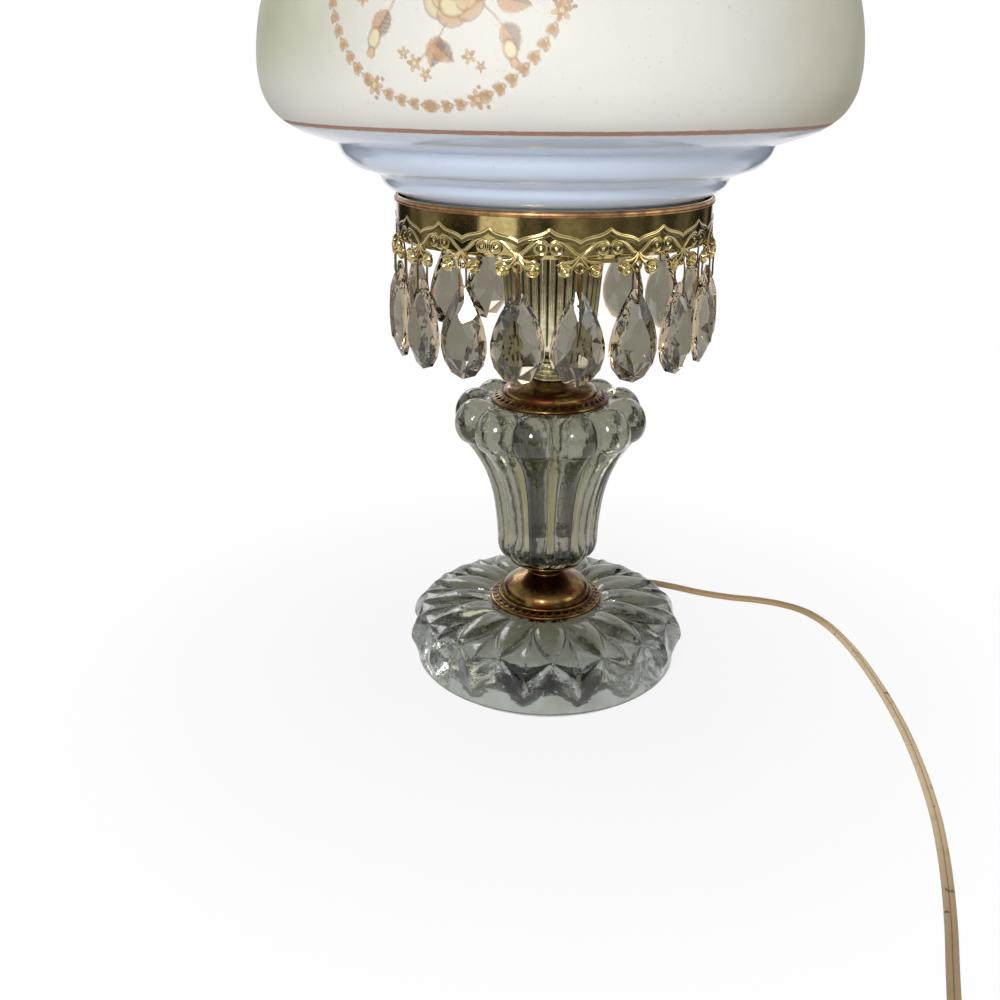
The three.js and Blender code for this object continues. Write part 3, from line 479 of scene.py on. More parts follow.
def cord_vinyl():
    """Tan vinyl, browner behind the lamp and, as painted shade, at the coil, with a darker groove and
    dark flecks.
    """
    paint = Paint("cord vinyl")
    y = paint.axes()[1]
    body = paint.blend(y.between(*CORD_TO_BACK), chosen("cord"), linear(194, 160, 116))
    # Painted shade: browner towards the coil
    body = paint.blend(y.between(*CORD_PAINTED_SHADE_TO_COIL) * 0.8, body, linear(172, 144, 106))
    # The groove between the two cores is darker
    groove_darkening = paint.attribute("groove").between(0.35, 1.0)
    body = paint.blend(groove_darkening * 0.7, body, linear(120, 96, 62))
    flecks = paint.noise(0.0045, detail=2.0).between(0.7, 0.72)
    body = paint.blend(flecks * 0.75, body, linear(74, 56, 38))
    clouds = paint.noise(0.005)
    body = paint.blend(clouds.between(0.5, 0.75) * 0.3, body, linear(168, 138, 98))
    return paint.surface(
        base_color=body, roughness=0.38 + clouds * 0.15,
        normal=paint.bump(paint.noise(0.004, detail=1.0), 0.0001, 0.3))


def rays(paint):
    """1 for rays of the camera, and 1 for those that metal mirrors or glass lets through."""
    camera, through, glossy = (
        paint.node("ShaderNodeLightPath", output=f"Is {kind} Ray")
        for kind in ("Camera", "Transmission", "Glossy"))
    return camera, through.maths("MAXIMUM", through, glossy)


def floor_finish():
    """A pale floor: white, but for the lamp's shadow, to the camera and in metal and glass."""
    paint = Paint("floor")
    camera, mirrored = rays(paint)
    clear_of_shadow = paint.from_axis().between(*SHADOW_REACH)
    seen = camera * (clear_of_shadow * (1 - SHADOW_WHITE) + SHADOW_WHITE)
    white = seen.maths("MAXIMUM", seen, mirrored)
    matte = paint.node("ShaderNodeBsdfDiffuse", {}, {"Color": FLOOR_GREY})
    glow = paint.node("ShaderNodeEmission", {}, {"Color": (1, 1, 1), "Strength": 1.0})
    paint.end(paint.node("ShaderNodeMixShader", {}, {0: white, 1: matte, 2: glow}))
    return paint.material


def screen_finish():
    """The cloudy grey of the low screen that the metal mirrors."""
    paint = Paint("screen")
    clouds = paint.noise(0.2, detail=1.0)
    grey = paint.blend(clouds.between(0.44, 0.64), (0.02, 0.018, 0.013), (0.26, 0.24, 0.2))
    paint.end(paint.node("ShaderNodeEmission", {}, {"Color": grey, "Strength": 1.0}))
    return paint.material


# Mesh making


def evenly(number):
    """Angles spaced evenly round a full turn."""
    return np.arange(number) * FULL_TURN / number


def around(radius, angle, height):
    """A point, or rows of points, at a radius, an angle from the front and a height."""
    radius, angle, height = np.broadcast_arrays(radius, angle, height)
    return np.stack([radius * np.sin(angle), -radius * np.cos(angle), height], axis=-1)


def flowing(corners, steps=6):
    """Points of a smooth line through the corners, spaced by the roots of their distances."""
    corners = np.asarray(corners, float)
    padded = np.vstack([2 * corners[0] - corners[1], corners, 2 * corners[-1] - corners[-2]])
    share = (np.arange(steps) / steps)[:, None]
    made = []
    for p0, p1, p2, p3 in zip(padded, padded[1:], padded[2:], padded[3:]):
        d0, d1, d2 = (math.sqrt(np.linalg.norm(b - a)) for a, b in ((p0, p1), (p1, p2), (p2, p3)))
        t1 = ((p1 - p0) / d0 - (p2 - p0) / (d0 + d1) + (p2 - p1) / d1) * d1
        t2 = ((p2 - p1) / d1 - (p3 - p1) / (d1 + d2) + (p3 - p2) / d2) * d1
        made.append(p1 + t1 * share + (3 * (p2 - p1) - 2 * t1 - t2) * share**2
                    + (2 * (p1 - p2) + t1 + t2) * share**3)
    return np.vstack([*made, corners[-1:]])


def normals_of(profile):
    """Unit vectors square to a line of [radius, height] points, on its right-hand side."""
    along = np.gradient(profile, axis=0)
    square = np.stack([along[:, 1], -along[:, 0]], axis=1)
    return square / np.maximum(np.linalg.norm(square, axis=1, keepdims=True), 1e-12)


def mesh_of(name, points, faces, sharp=40.0, marks=None):
    """A mesh with its doubles merged, its faces outwards where it is closed, and smooth shading."""
    mesh = bpy.data.meshes.new(name)
    mesh.from_pydata(points.tolist(), [], faces)
    for mark, values in (marks or {}).items():
        kind = "FLOAT" if values.ndim == 1 else "FLOAT_COLOR"
        layer = mesh.attributes.new(mark, kind, "POINT")
        layer.data.foreach_set("value" if kind == "FLOAT" else "color", values.ravel())
    shell = bmesh.new()
    shell.from_mesh(mesh)
    bmesh.ops.remove_doubles(shell, verts=shell.verts, dist=1e-6)
    if shell.calc_volume(signed=True) < 0:
        bmesh.ops.reverse_faces(shell, faces=shell.faces)
    shell.to_mesh(mesh)
    shell.free()
    mesh.shade_smooth()
    mesh.set_sharp_from_angle(angle=math.radians(sharp))
    return mesh


def skin(name, rows, looped=False, capped=False, wrapped=True, sharp=40.0, marks=None):
    """Skins rows of points. A looped skin joins its last row to its first, a capped one closes
    both end rows with a face, and a wrapped one joins the ends of each row."""
    rows = np.asarray(rows, float)
    tall, wide = rows.shape[:2]
    down = np.arange(tall if looped else tall - 1)
    across = np.arange(wide if wrapped else wide - 1)
    i, j = np.meshgrid(down, across, indexing="ij")
    k, m = (j + 1) % wide, (i + 1) % tall
    faces = np.stack([i * wide + j, i * wide + k, m * wide + k, m * wide + j], axis=-1)
    faces = faces.reshape(-1, 4).tolist()
    if capped:
        faces.append(list(range(wide))[::-1])
        faces.append(list(range((tall - 1) * wide, tall * wide)))
    flat = {mark: values.reshape(-1, *values.shape[2:]) for mark, values in (marks or {}).items()}
    return mesh_of(name, rows.reshape(-1, 3), faces, sharp, flat)


def turned(name, profile, columns=128, base=0.0, sharp=40.0):
    """Turns a closed profile of [radius, height] points in millimetres about the Z axis."""
    profile = np.asarray(profile, float) * MM
    rows = around(profile[:, :1], evenly(columns)[None, :], profile[:, 1:] + base)
    closed = profile[0, 0] > 0 or profile[-1, 0] > 0
    return skin(name, rows, looped=closed, sharp=sharp)


def tube(name, path, upwards, outline, marks=None, sharp=40.0):
    """A tube with flat ends along a path, its outline's second axis towards upwards."""
    path = np.asarray(path, float)
    along = np.gradient(path, axis=0)
    along /= np.linalg.norm(along, axis=1, keepdims=True)
    across = np.cross(along, upwards)
    across /= np.linalg.norm(across, axis=1, keepdims=True)
    over = np.cross(across, along)
    outline = np.asarray(outline, float)
    rows = (path[:, None] + across[:, None] * outline[..., 0:1] + over[:, None] * outline[..., 1:2])
    return skin(name, rows, capped=True, sharp=sharp, marks=marks)


def oval_outline(half_width, half_height):
    """The outline of a thin wire, its halves in millimetres."""
    sweep = evenly(8)
    return np.stack([half_width * np.cos(sweep), half_height * np.sin(sweep)], axis=1) * MM


def object_of(mesh, material):
    made = bpy.data.objects.new(mesh.name, mesh)
    bpy.context.scene.collection.objects.link(made)
    if material is not None:
        mesh.materials.clear()
        mesh.materials.append(material)
    return made


def place(mesh, material, slot, *nodes, body="lamp"):
    """Puts a finished mesh in the scene as a piece that stands for these CAD nodes."""
    made = object_of(mesh, material)
    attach(made, body)
    if nodes:
        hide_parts(*nodes)
    return made


def baked(source):
    """The mesh of an object with its modifiers applied. The object is removed."""
    name = source.name
    bpy.context.view_layer.update()
    seen = source.evaluated_get(bpy.context.evaluated_depsgraph_get())
    mesh = bpy.data.meshes.new_from_object(seen)
    old = source.data
    bpy.data.objects.remove(source)
    bpy.data.meshes.remove(old)
    mesh.name = name
    return mesh


def cut(mesh, tool, sharp=40.0):
    """The mesh less the tool's."""
    cutter = object_of(tool, None)
    source = object_of(mesh, None)
    step = source.modifiers.new("cut", "BOOLEAN")
    step.object = cutter
    step.solver = "EXACT"
    made = baked(source)
    bpy.data.objects.remove(cutter)
    bpy.data.meshes.remove(tool)
    made.set_sharp_from_angle(angle=math.radians(sharp))
    return made


def joined(name, meshes):
    """Several meshes as one, each still closed in itself."""
    whole = bmesh.new()
    for mesh in meshes:
        whole.from_mesh(mesh)
        bpy.data.meshes.remove(mesh)
    made = bpy.data.meshes.new(name)
    whole.to_mesh(made)
    whole.free()
    made.shade_smooth()
    made.set_sharp_from_angle(angle=math.radians(40))
    return made


def pin(name, radius, low, high, columns, at):
    """A round bar that runs towards the front, from low to high in millimetres from a place."""
    bar = turned(name, [(0, low), (radius, low), (radius, high), (0, high)], columns)
    bar.transform(Matrix.Translation(at) @ Matrix.Rotation(math.pi / 2, 4, "X"))
    return bar


def squared(share, power):
    """A sine or cosine pushed outwards, so that a round outline gets squarish."""
    return np.sign(share) * np.abs(share) ** power


def swelling(position):
    """A half round between two grooves: 0 at 0 and 1, and 1 in the middle."""
    return np.sqrt(np.clip(1 - (2 * position - 1) ** 2, 0, 1))


# Geometry Nodes


def ring_of_copies():
    """A node tree that sets copies of a mesh round the Z axis."""
    tree = bpy.data.node_groups.new("Copies round the axis", "GeometryNodeTree")
    sockets = tree.interface
    sockets.new_socket("Geometry", in_out="INPUT", socket_type="NodeSocketGeometry")
    for name, kind in (("Copies", "NodeSocketInt"), ("First turn", "NodeSocketFloat"),
                       ("Step", "NodeSocketFloat"), ("Material", "NodeSocketMaterial")):
        sockets.new_socket(name, in_out="INPUT", socket_type=kind)
    sockets.new_socket("Geometry", in_out="OUTPUT", socket_type="NodeSocketGeometry")

    def node(kind, settings=None, **links):
        made = tree.nodes.new(kind)
        for name, value in (settings or {}).items():
            setattr(made, name, value)
        for name, source in links.items():
            target = made.inputs[int(name[1:])] if name[0] == "n" else made.inputs[name]
            tree.links.new(source, target)
        return made

    given = node("NodeGroupInput").outputs
    points = node("GeometryNodePoints", Count=given["Copies"]).outputs[0]
    index = node("GeometryNodeInputIndex").outputs[0]
    spread = node("ShaderNodeMath", {"operation": "MULTIPLY"}, n0=index, n1=given["Step"]).outputs[0]
    angle = node("ShaderNodeMath", {"operation": "ADD"}, n0=spread, n1=given["First turn"]).outputs[0]
    spin = node("ShaderNodeCombineXYZ", Z=angle).outputs[0]
    copies = node(
        "GeometryNodeInstanceOnPoints", Points=points, Instance=given["Geometry"],
        Rotation=spin).outputs[0]
    solid = node("GeometryNodeRealizeInstances", Geometry=copies).outputs[0]
    coated = node("GeometryNodeSetMaterial", Geometry=solid, Material=given["Material"]).outputs[0]
    node("NodeGroupOutput", Geometry=coated)
    return tree


def copied_round(name, template, tree, material, copies=1, first=0.0, step=0.0):
    """A mesh with copies of the template set round the axis by the tree."""
    source = object_of(template.copy(), None)
    source.name = name
    step_round = source.modifiers.new("copies", "NODES")
    step_round.node_group = tree
    values = {"Copies": copies, "First turn": first, "Step": step, "Material": material}
    for item in tree.interface.items_tree:
        if item.in_out == "INPUT" and item.name in values:
            step_round[item.identifier] = values[item.name]
    made = baked(source)
    made.shade_smooth()
    return made


# The lamp's pieces


class Maker:
    """What the operators that make the lamp's pieces share."""

    bl_options = {"REGISTER", "UNDO"}


# The camera fitted to the photograph: place, turns in degrees, and lens and sensor in millimetres
CAMERA_PLACE = (0, -0.5, 0.281)
CAMERA_PITCH, CAMERA_YAW, CAMERA_ROLL = 21.355, -2.626, 0.225
CAMERA_LENS, CAMERA_SENSOR = 40.142, 36
CAMERA_NEAR = 0.01


class LAMP_OT_camera(Maker, bpy.types.Operator):
    """Sets the camera where the photograph was taken from"""

    bl_idname = "lamp.camera"
    bl_label = "Camera"

    def execute(self, context):
        pitch, yaw, roll = (
            math.radians(v) for v in (CAMERA_PITCH, CAMERA_YAW, CAMERA_ROLL))
        forward = Vector((
            math.sin(yaw) * math.cos(pitch), math.cos(yaw) * math.cos(pitch), -math.sin(pitch)))
        level = Vector((math.cos(yaw), -math.sin(yaw), 0))
        upright = level.cross(forward)
        right = level * math.cos(roll) + upright * math.sin(roll)
        up = upright * math.cos(roll) - level * math.sin(roll)
        lens = bpy.data.cameras.new("camera")
        lens.sensor_width = CAMERA_SENSOR
        lens.lens = CAMERA_LENS
        lens.clip_start = CAMERA_NEAR
        camera = bpy.data.objects.new("camera", lens)
        axes = Matrix((right, up, -forward)).transposed().to_4x4()
        camera.matrix_world = Matrix.Translation(CAMERA_PLACE) @ axes
        context.scene.collection.objects.link(camera)
        context.scene.camera = camera
        return {"FINISHED"}


# The cord, in millimetres, as the CAD solids have it
CORD_LIE = 1.35  # its middle over the table
CORD_END_GAP = 0.3
COIL_CENTRE = (97.2, -270.0)
COIL_RADIUS = 32.0
COIL_PITCH = 5.2  # from one turn to the next in a layer
COIL_LAYER = 3.2  # from one layer to the next
COIL_LAYERS = 4
COIL_TURNS = 7.25
COIL_RUN_OUT = 46.0
COIL_STEPS_A_TURN = 48
COIL_RUN_STEPS = 24
CORD_STEPS = 12  # between two points of the route
PLUG_AXIS = 5.85  # the plug's middle over the table

# The cord's way over the table from the bushing to the coil, in millimetres
CORD_POINTS = [
    (24.10, 64.97, 4.6), (25.8, 69.5, 4.4), (27.6, 74.3, 3.7), (32.6, 82.6, 2.4),
    (40.9, 87.9, 1.6), (50.5, 89.3, CORD_LIE), (60.3, 88.3, CORD_LIE), (74.1, 83.0, CORD_LIE),
    (87.5, 76.6, CORD_LIE), (103.8, 71.4, CORD_LIE), (117.4, 68.9, CORD_LIE),
    (130.2, 64.6, CORD_LIE), (141.4, 57.0, CORD_LIE), (150.4, 42.5, CORD_LIE),
    (157.3, 17.5, CORD_LIE), (161.5, -16.0, CORD_LIE), (163.0, -53.6, CORD_LIE),
    (161.8, -85.1, CORD_LIE), (158.1, -119.9, CORD_LIE), (153.6, -144.7, CORD_LIE),
    (148.4, -167.1, CORD_LIE), (142.9, -187.5, CORD_LIE), (138.0, -203.9, CORD_LIE),
    (133.6, -219.0, CORD_LIE), (131.0, -229.0, CORD_LIE), (129.6, -238.0, CORD_LIE),
    (129.2, -250.0, CORD_LIE), (129.2, -256.0, CORD_LIE), (129.2, -263.0, CORD_LIE),
]


def soft_step(value, low, high):
    share = np.clip((value - low) / (high - low), 0, 1)
    return share * share * (3 - 2 * share)


def coil_points():
    """The coil's loops, in and out again in layers, and its run out to the plug."""
    turns = np.linspace(0, COIL_TURNS, round(COIL_TURNS * COIL_STEPS_A_TURN) + 1)
    layer_turns = COIL_TURNS / COIL_LAYERS
    layer = np.minimum(turns // layer_turns, COIL_LAYERS - 1)
    within = turns - layer * layer_turns
    inwards = np.where(layer % 2 == 0, within, layer_turns - within)
    climbed = sum(
        soft_step(turns, reversal * layer_turns - 0.25, reversal * layer_turns + 0.25)
        for reversal in range(1, COIL_LAYERS))
    radius = COIL_RADIUS - COIL_PITCH * inwards
    angle = -FULL_TURN * turns
    loops = np.stack([
        COIL_CENTRE[0] + radius * np.cos(angle), COIL_CENTRE[1] + radius * np.sin(angle),
        CORD_LIE + COIL_LAYER * climbed], axis=1)
    share = np.linspace(0, 1, COIL_RUN_STEPS + 1)[1:]
    highest_layer = CORD_LIE + COIL_LAYER * (COIL_LAYERS - 1)
    fall = soft_step(share, 0.1, 0.9)
    run = np.stack([
        COIL_CENTRE[0] - COIL_RUN_OUT * share, np.full_like(share, COIL_CENTRE[1] - COIL_RADIUS),
        highest_layer + (PLUG_AXIS - highest_layer) * fall], axis=1)
    return np.vstack([loops, run])


CORE_ARC = 128  # degrees of a core's round each way from its outer side to the groove


def twin_outline(width, thickness):
    """Two round cores side by side, and how deep in the groove each point lies."""
    core = thickness / 2
    middle = width / 2 - core
    sweep = np.radians(np.linspace(-CORE_ARC, CORE_ARC, 15))
    right = np.stack([middle + core * np.cos(sweep), core * np.sin(sweep)], axis=1)
    groove = math.sqrt(core**2 - middle**2)
    outline = np.vstack([[(0, -groove)], right, [(0, groove)], -right])
    return outline, np.clip(1 - np.abs(outline[:, 0]) / (0.4 * core), 0, 1)


class LAMP_OT_cord(Maker, bpy.types.Operator):
    """Lays the flat twin cord from its bushing over the table to a coil and the plug"""

    bl_idname = "lamp.cord"
    bl_label = "Cord and plug"

    def execute(self, context):
        sizes = context.scene.lamp_cord
        route = np.vstack([flowing(CORD_POINTS, CORD_STEPS)[:-1], coil_points()]) * MM
        outline, groove = twin_outline(sizes.width, sizes.thickness)
        marks = {"groove": np.tile(groove, (len(route), 1))}
        mesh = tube("twin_cord", route, (0, 0, 1), outline, marks, sharp=60)
        cord = place(mesh, cord_vinyl(), "cord_plastic", "power_cord", "cord_coil")
        plastic = moulded("brown plastic", linear(74, 54, 40), 0.36, 0.0007, 0.00005)
        plug = place(plug_mesh(), plastic, "brown_plastic", "plug_body")
        blades = [coat(f"plug_blade_{side}", metal_finish("blade brass")) for side in ("left", "right")]
        place(sleeve_mesh(route), plastic, "brown_plastic", "cord_bushing")
        return {"FINISHED"}


def coat(node, material):
    """Gives a CAD node that stays in view its finish."""
    made = frame["nodes"][node]
    made.data.materials.clear()
    made.data.materials.append(material)
    return made


def plug_mesh():
    """A moulded two-blade plug: a tapering tail, ribbed grips and a flat face."""
    low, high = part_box("plug_body")
    middle = (low + high) / 2
    half_wide, half_tall = (high.y - low.y) / 2, (high.z - low.z) / 2
    # Share of the way from tail to face, and of the full half width and half height
    shares = flowing([
        (0, 0.34, 0.46), (0.04, 0.43, 0.56), (0.2, 0.56, 0.7), (0.36, 0.86, 0.92),
        (0.46, 0.97, 1.0), (0.7, 1.0, 1.0), (0.92, 0.985, 1.0), (0.985, 0.95, 0.96),
        (1.0, 0.86, 0.86)], 7)
    columns = 40
    squareness = 0.45
    rib_pitch = 0.08
    sweep = evenly(columns)
    across = squared(np.cos(sweep), squareness)
    over = squared(np.sin(sweep), squareness)
    rows = []
    for along, wide, tall in shares:
        grip = soft_step(along, 0.5, 0.54) * soft_step(along, 0.86, 0.82)
        ribs = grip * 0.5 * (1 - math.cos(FULL_TURN * along / rib_pitch)) * np.abs(across) ** 4
        x = np.full(columns, high.x - along * (high.x - low.x))
        y = middle.y + across * half_wide * wide * (1 - 0.07 * ribs)
        rows.append(np.stack([x, y, middle.z + over * half_tall * tall], axis=1))
    return skin("plug_moulding", rows, capped=True)


def sleeve_mesh(route):
    """The ribbed strain relief in the back of the foot."""
    bore, sleeve_length = 2.6, 24.0
    first_rib, rib_pitch, rib_taper = 15.2, 2.2, 0.22
    outline = [(bore, 0), (4.2, 0), (4.2, 3.0), (4.6, 3.3), (4.6, 4.4), (4.2, 4.7), (4.2, 14.0)]
    for rib in range(4):
        start = first_rib + rib_pitch * rib
        radius = 4.1 - rib_taper * rib
        outline += [(radius - 0.5, start - 1.0), (radius - 0.5, start - 0.2), (radius, start),
                    (radius, start + 0.9)]
    outline += [(3.2, 23.2), (3.2, sleeve_length), (bore, sleeve_length)]
    sleeve = turned("cord_sleeve", outline, 32)
    angle = math.atan2(route[0][0], -route[0][1])
    start = math.hypot(*route[0][:2]) - (sleeve_length + CORD_END_GAP) * MM
    upright = Matrix.Rotation(math.pi / 2, 4, "X")
    sleeve.transform(Matrix.Rotation(angle, 4, "Z")
                     @ Matrix.Translation((0, -start, route[0][2])) @ upright)
    return sleeve


# Radius of the hole for the pipe in the pieces that are clamped on it, in millimetres
PIPE_HOLE = 5.2
# Radius and height where a lower petal's point ends on the plain band, and the band's waviness
BAND_TOP, BAND_TOP_HEIGHT = 0.0640, 0.0075
WAVE_MIDDLE, WAVE_DEPTH = 0.0642, 0.0022


class LAMP_OT_foot(Maker, bpy.types.Operator):
    """Presses the glass foot: rounded upper petals over pointed lower ones on a plain band"""

    bl_idname = "lamp.foot"
    bl_label = "Glass foot"

    def execute(self, context):
        sizes = context.scene.lamp_foot
        top = lowest("foot_cap")
        steps = 10
        columns = 2 * sizes.petals * steps
        step = np.arange(columns)
        angles = sizes.first_petal + evenly(columns)
        half_pitch = math.pi / sizes.petals
        # 1 along the middle of a lower petal and 0 along the middle of an upper one
        outer = np.abs((step % (2 * steps)) / steps - 1)
        parting = 1 - (1 - outer) ** 0.62
        crease = sizes.notch - (sizes.notch - sizes.leaf) * parting
        crease_z = sizes.notch_height + (sizes.leaf_height - sizes.notch_height) * parting
        off = outer * half_pitch
        edge = sizes.notch * sizes.tip * math.sin(half_pitch) / (
            sizes.notch * np.sin(off) + sizes.tip * np.sin(half_pitch - off))
        edge_share = edge * np.sin(off) / (sizes.tip * math.sin(half_pitch))
        edge_z = sizes.notch_height + (sizes.tip_height - sizes.notch_height) * edge_share
        rows = []

        def add(radius, height):
            rows.append(around(radius, angles, height))

        for share in np.linspace(0, 1, 15):
            swell = math.sin(math.pi * share) ** 0.7
            crown = swell * (sizes.crown * np.sqrt(1 - outer**2) - 0.0008 * outer**4)
            add(sizes.seat + (crease - sizes.seat) * share, top + (crease_z - top) * share + crown)
        step_down = 0.0009 * np.sqrt(outer)
        run, fall = edge - crease, crease_z - edge_z
        full_chord = np.hypot(run, fall).max()
        for share in np.linspace(0, 1, 19):
            bulge = sizes.shoulder * math.sin(math.pi * share**1.6) ** 0.8 / full_chord
            bulge = bulge * (1 + 0.07 * outer**3 * share)
            lower_z = crease_z - step_down * (1 - share)
            add(crease + run * share + fall * bulge + 0.0003 * np.sqrt(outer) * (1 - share),
                lower_z + (edge_z - lower_z) * share + run * bulge)
        wavy = WAVE_MIDDLE - WAVE_DEPTH * np.cos(math.pi * outer)
        for share in np.linspace(0, 1, 15)[1:]:
            softer = edge + (wavy - edge) * soft_step(share, 0.0, 0.45)
            lean = soft_step(share, 0.15, 1.0)
            add(softer + (BAND_TOP - softer) * lean, edge_z + (BAND_TOP_HEIGHT - edge_z) * share)
        under = np.vstack([
            flowing([(64.0, 6.9), (63.7, 6.0), (62.4, 4.6), (60.4, 3.2), (57.8, 1.1), (54.6, 0)], 3),
            [(49.5, 0)],
            flowing([(48.8, 0.8), (46.2, 4.8), (43.0, 8.0), (36.0, 10.6), (22.0, 13.95)], 4),
            [(PIPE_HOLE, 14.0), (PIPE_HOLE, top / MM)]]) * MM
        for radius, height in under:
            add(np.full(columns, radius), height)
        glass = skin("pressed_foot", rows, looped=True, sharp=24)
        glass = cut(glass, exit_arch(), sharp=24)
        place(glass, pressed_glass("foot glass"), "clear_glass", "foot_glass")
        return {"FINISHED"}


def exit_arch():
    """The arched bar whose shape is cut out of the foot's rim for the bushing."""
    half_width = 4.5 * MM
    near, far = 40 * MM, 80 * MM
    low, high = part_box("cord_bushing")
    height = halfway_up("cord_bushing")
    sweep = np.linspace(0, math.pi, 17)
    outline = [(-half_width, -MM), *((half_width * -math.cos(t), height + half_width * math.sin(t))
                                     for t in sweep), (half_width, -MM)]
    rows = [[(x, -radius, z) for x, z in outline] for radius in (near, far)]
    arch = skin("exit arch", rows, capped=True)
    arch.transform(Matrix.Rotation(math.atan2(low.x + high.x, -low.y - high.y), 4, "Z"))
    return arch


class LAMP_OT_vase(Maker, bpy.types.Operator):
    """Presses the glass vase: rounded lobes that end in balls, with flat strips between them"""

    bl_idname = "lamp.vase"
    bl_label = "Glass vase"

    def execute(self, context):
        sizes = context.scene.lamp_vase
        base = lowest("vase_glass")
        # Radius of a lobe's crest, height over the base, and depth of the groove beside it
        stem = flowing([
            (16.0, 0.0, 0.6), (18.8, 0.5, 1.8), (21.6, 2.4, 2.9), (23.6, 5.4, 3.3), (24.5, 8.8, 3.5),
            (24.7, 13.0, 3.5), (25.2, 21.0, 3.5), (27.0, 34.0, 3.8), (30.4, 45.5, 4.3),
            (35.0, 54.5, 5.0), (38.6, 59.6, 5.6), (39.8, 61.2, 5.9)], 6)
        ball = flowing([
            (39.8, 61.2, 5.9), (42.2, 62.6, 7.2), (44.3, 65.6, 8.5), (45.2, 69.6, 9.0),
            (44.6, 74.0, 9.0), (42.4, 78.0, 8.7), (38.9, 80.8, 8.0), (35.4, 81.5, 6.8),
            (31.9, 80.9, 4.4), (29.4, 79.9, 1.6), (28.0, 79.5, 0)], 5)
        floor = sizes.floor / MM
        inside = np.array([
            (27.8, 79.0, 0), (17.0, 79.0, 0), (15.0, 60.7, 0), (13.0, 42.4, 0), (11.2, 26.0, 0),
            (10.2, floor + 1.2, 0), (9.2, floor, 0), (PIPE_HOLE, floor, 0), (PIPE_HOLE, 0, 0)])
        line = np.vstack([stem, ball[1:], inside])
        out = normals_of(line[:, :2])
        steps = 20
        columns = sizes.lobes * steps
        step = np.arange(columns)
        angles = sizes.first_lobe + (step - steps / 2) * FULL_TURN / columns
        beside = np.abs(2 * (step % steps) / steps - 1)
        rows, strips = [], []
        for (crest, rise, depth), (out_r, out_z) in zip(line, out):
            strip = sizes.strip * soft_step(rise, 1.0, 9.0) * soft_step(rise, 61.0, 52.0) + 0.03
            swell = np.sqrt(np.clip(1 - (beside / (1 - strip)) ** 2, 0, 1))
            sunk = depth * (1 - swell)
            rows.append(around(
                (crest - out_r * sunk) * MM, angles, base + (rise - out_z * sunk) * MM))
            strips.append((beside > 1 - strip) * (9 < rise < 60) * (depth > 0) * 1.0)
        glass = skin("pressed_vase", rows, looped=True, sharp=50, marks={"strip": np.array(strips)})
        place(glass, pressed_glass("vase glass"), "clear_glass", "vase_glass")
        return {"FINISHED"}


def cap_mesh(name, node, scalloped):
    """A dished brass cap: a rolled rim, a band of slanted dents or of scallops, and a low dome."""
    sizes = bpy.context.scene.lamp_brass
    base = lowest(node)
    height = (highest(node) - base) / MM
    rise = height - 3.3
    steps = 12
    columns = sizes.dents * steps
    angles = evenly(columns)
    beat = (np.arange(columns) % steps) / steps - 0.5
    rim = flowing([(26.2, 0.0), (27.0, 0.2), (27.25, 0.9), (26.9, 1.6), (26.3, 1.8)], 4)
    band = np.linspace((26.1, 1.75), (23.4, 3.2), 12)
    line = flowing([(23.3, 3.3), (22.95, 3.85), (22.4, 3.75), (22.1, 3.3)], 4)
    dome = flowing([(radius, 3.3 + share * rise) for radius, share in (
        (21.9, 0), (21.4, 0.22), (20.1, 0.44), (16.9, 0.66), (12.6, 0.85), (9.2, 1.0))], 6)
    inside = np.array([
        (PIPE_HOLE, height), (PIPE_HOLE, height - 1.1), (9.6, height - 1.2), (12.2, 2.4 + 0.8 * rise),
        (16.0, 2.4 + 0.6 * rise), (18.8, 2.4 + 0.35 * rise), (20.4, 3.0), (22.6, 1.7), (24.6, 0.6),
        (24.9, 0.0)])
    rows, marks = [], []
    for radius, level in np.vstack([rim, band, line, dome, inside]):
        share = (radius - 23.4) / 2.7
        on_band = 1.7 < level < 3.25 and radius > 23.3
        sunk = np.zeros_like(beat)
        mark = np.zeros_like(beat)
        if on_band and scalloped:
            scallop = 0.2 + 0.65 * np.sqrt(np.clip(1 - (2 * beat) ** 2, 0, 1))
            ridge = np.exp(-((share - scallop) / 0.17) ** 2)
            sunk = -0.7 * sizes.dent_depth * ridge
            # The mark paints shade inside each scallop and beside its ridge, and a highlight on the
            # ridge
            mark = np.where(share < scallop - 0.1, 0.3, 0.9 * ridge)
        elif on_band:
            oval = ((beat + 0.3 * (share - 0.5)) / 0.23) ** 2 + ((share - 0.5) / 0.3) ** 2
            dent = np.exp(-oval**1.5)
            sunk = sizes.dent_depth * dent
            # The mark paints shade in each dent
            mark = 0.35 * dent
        marks.append(mark)
        rows.append(around(radius * MM - 0.45 * sunk, angles, base + level * MM - 0.89 * sunk))
    return skin(name, rows, looped=True, sharp=35, marks={"relief": np.array(marks)})


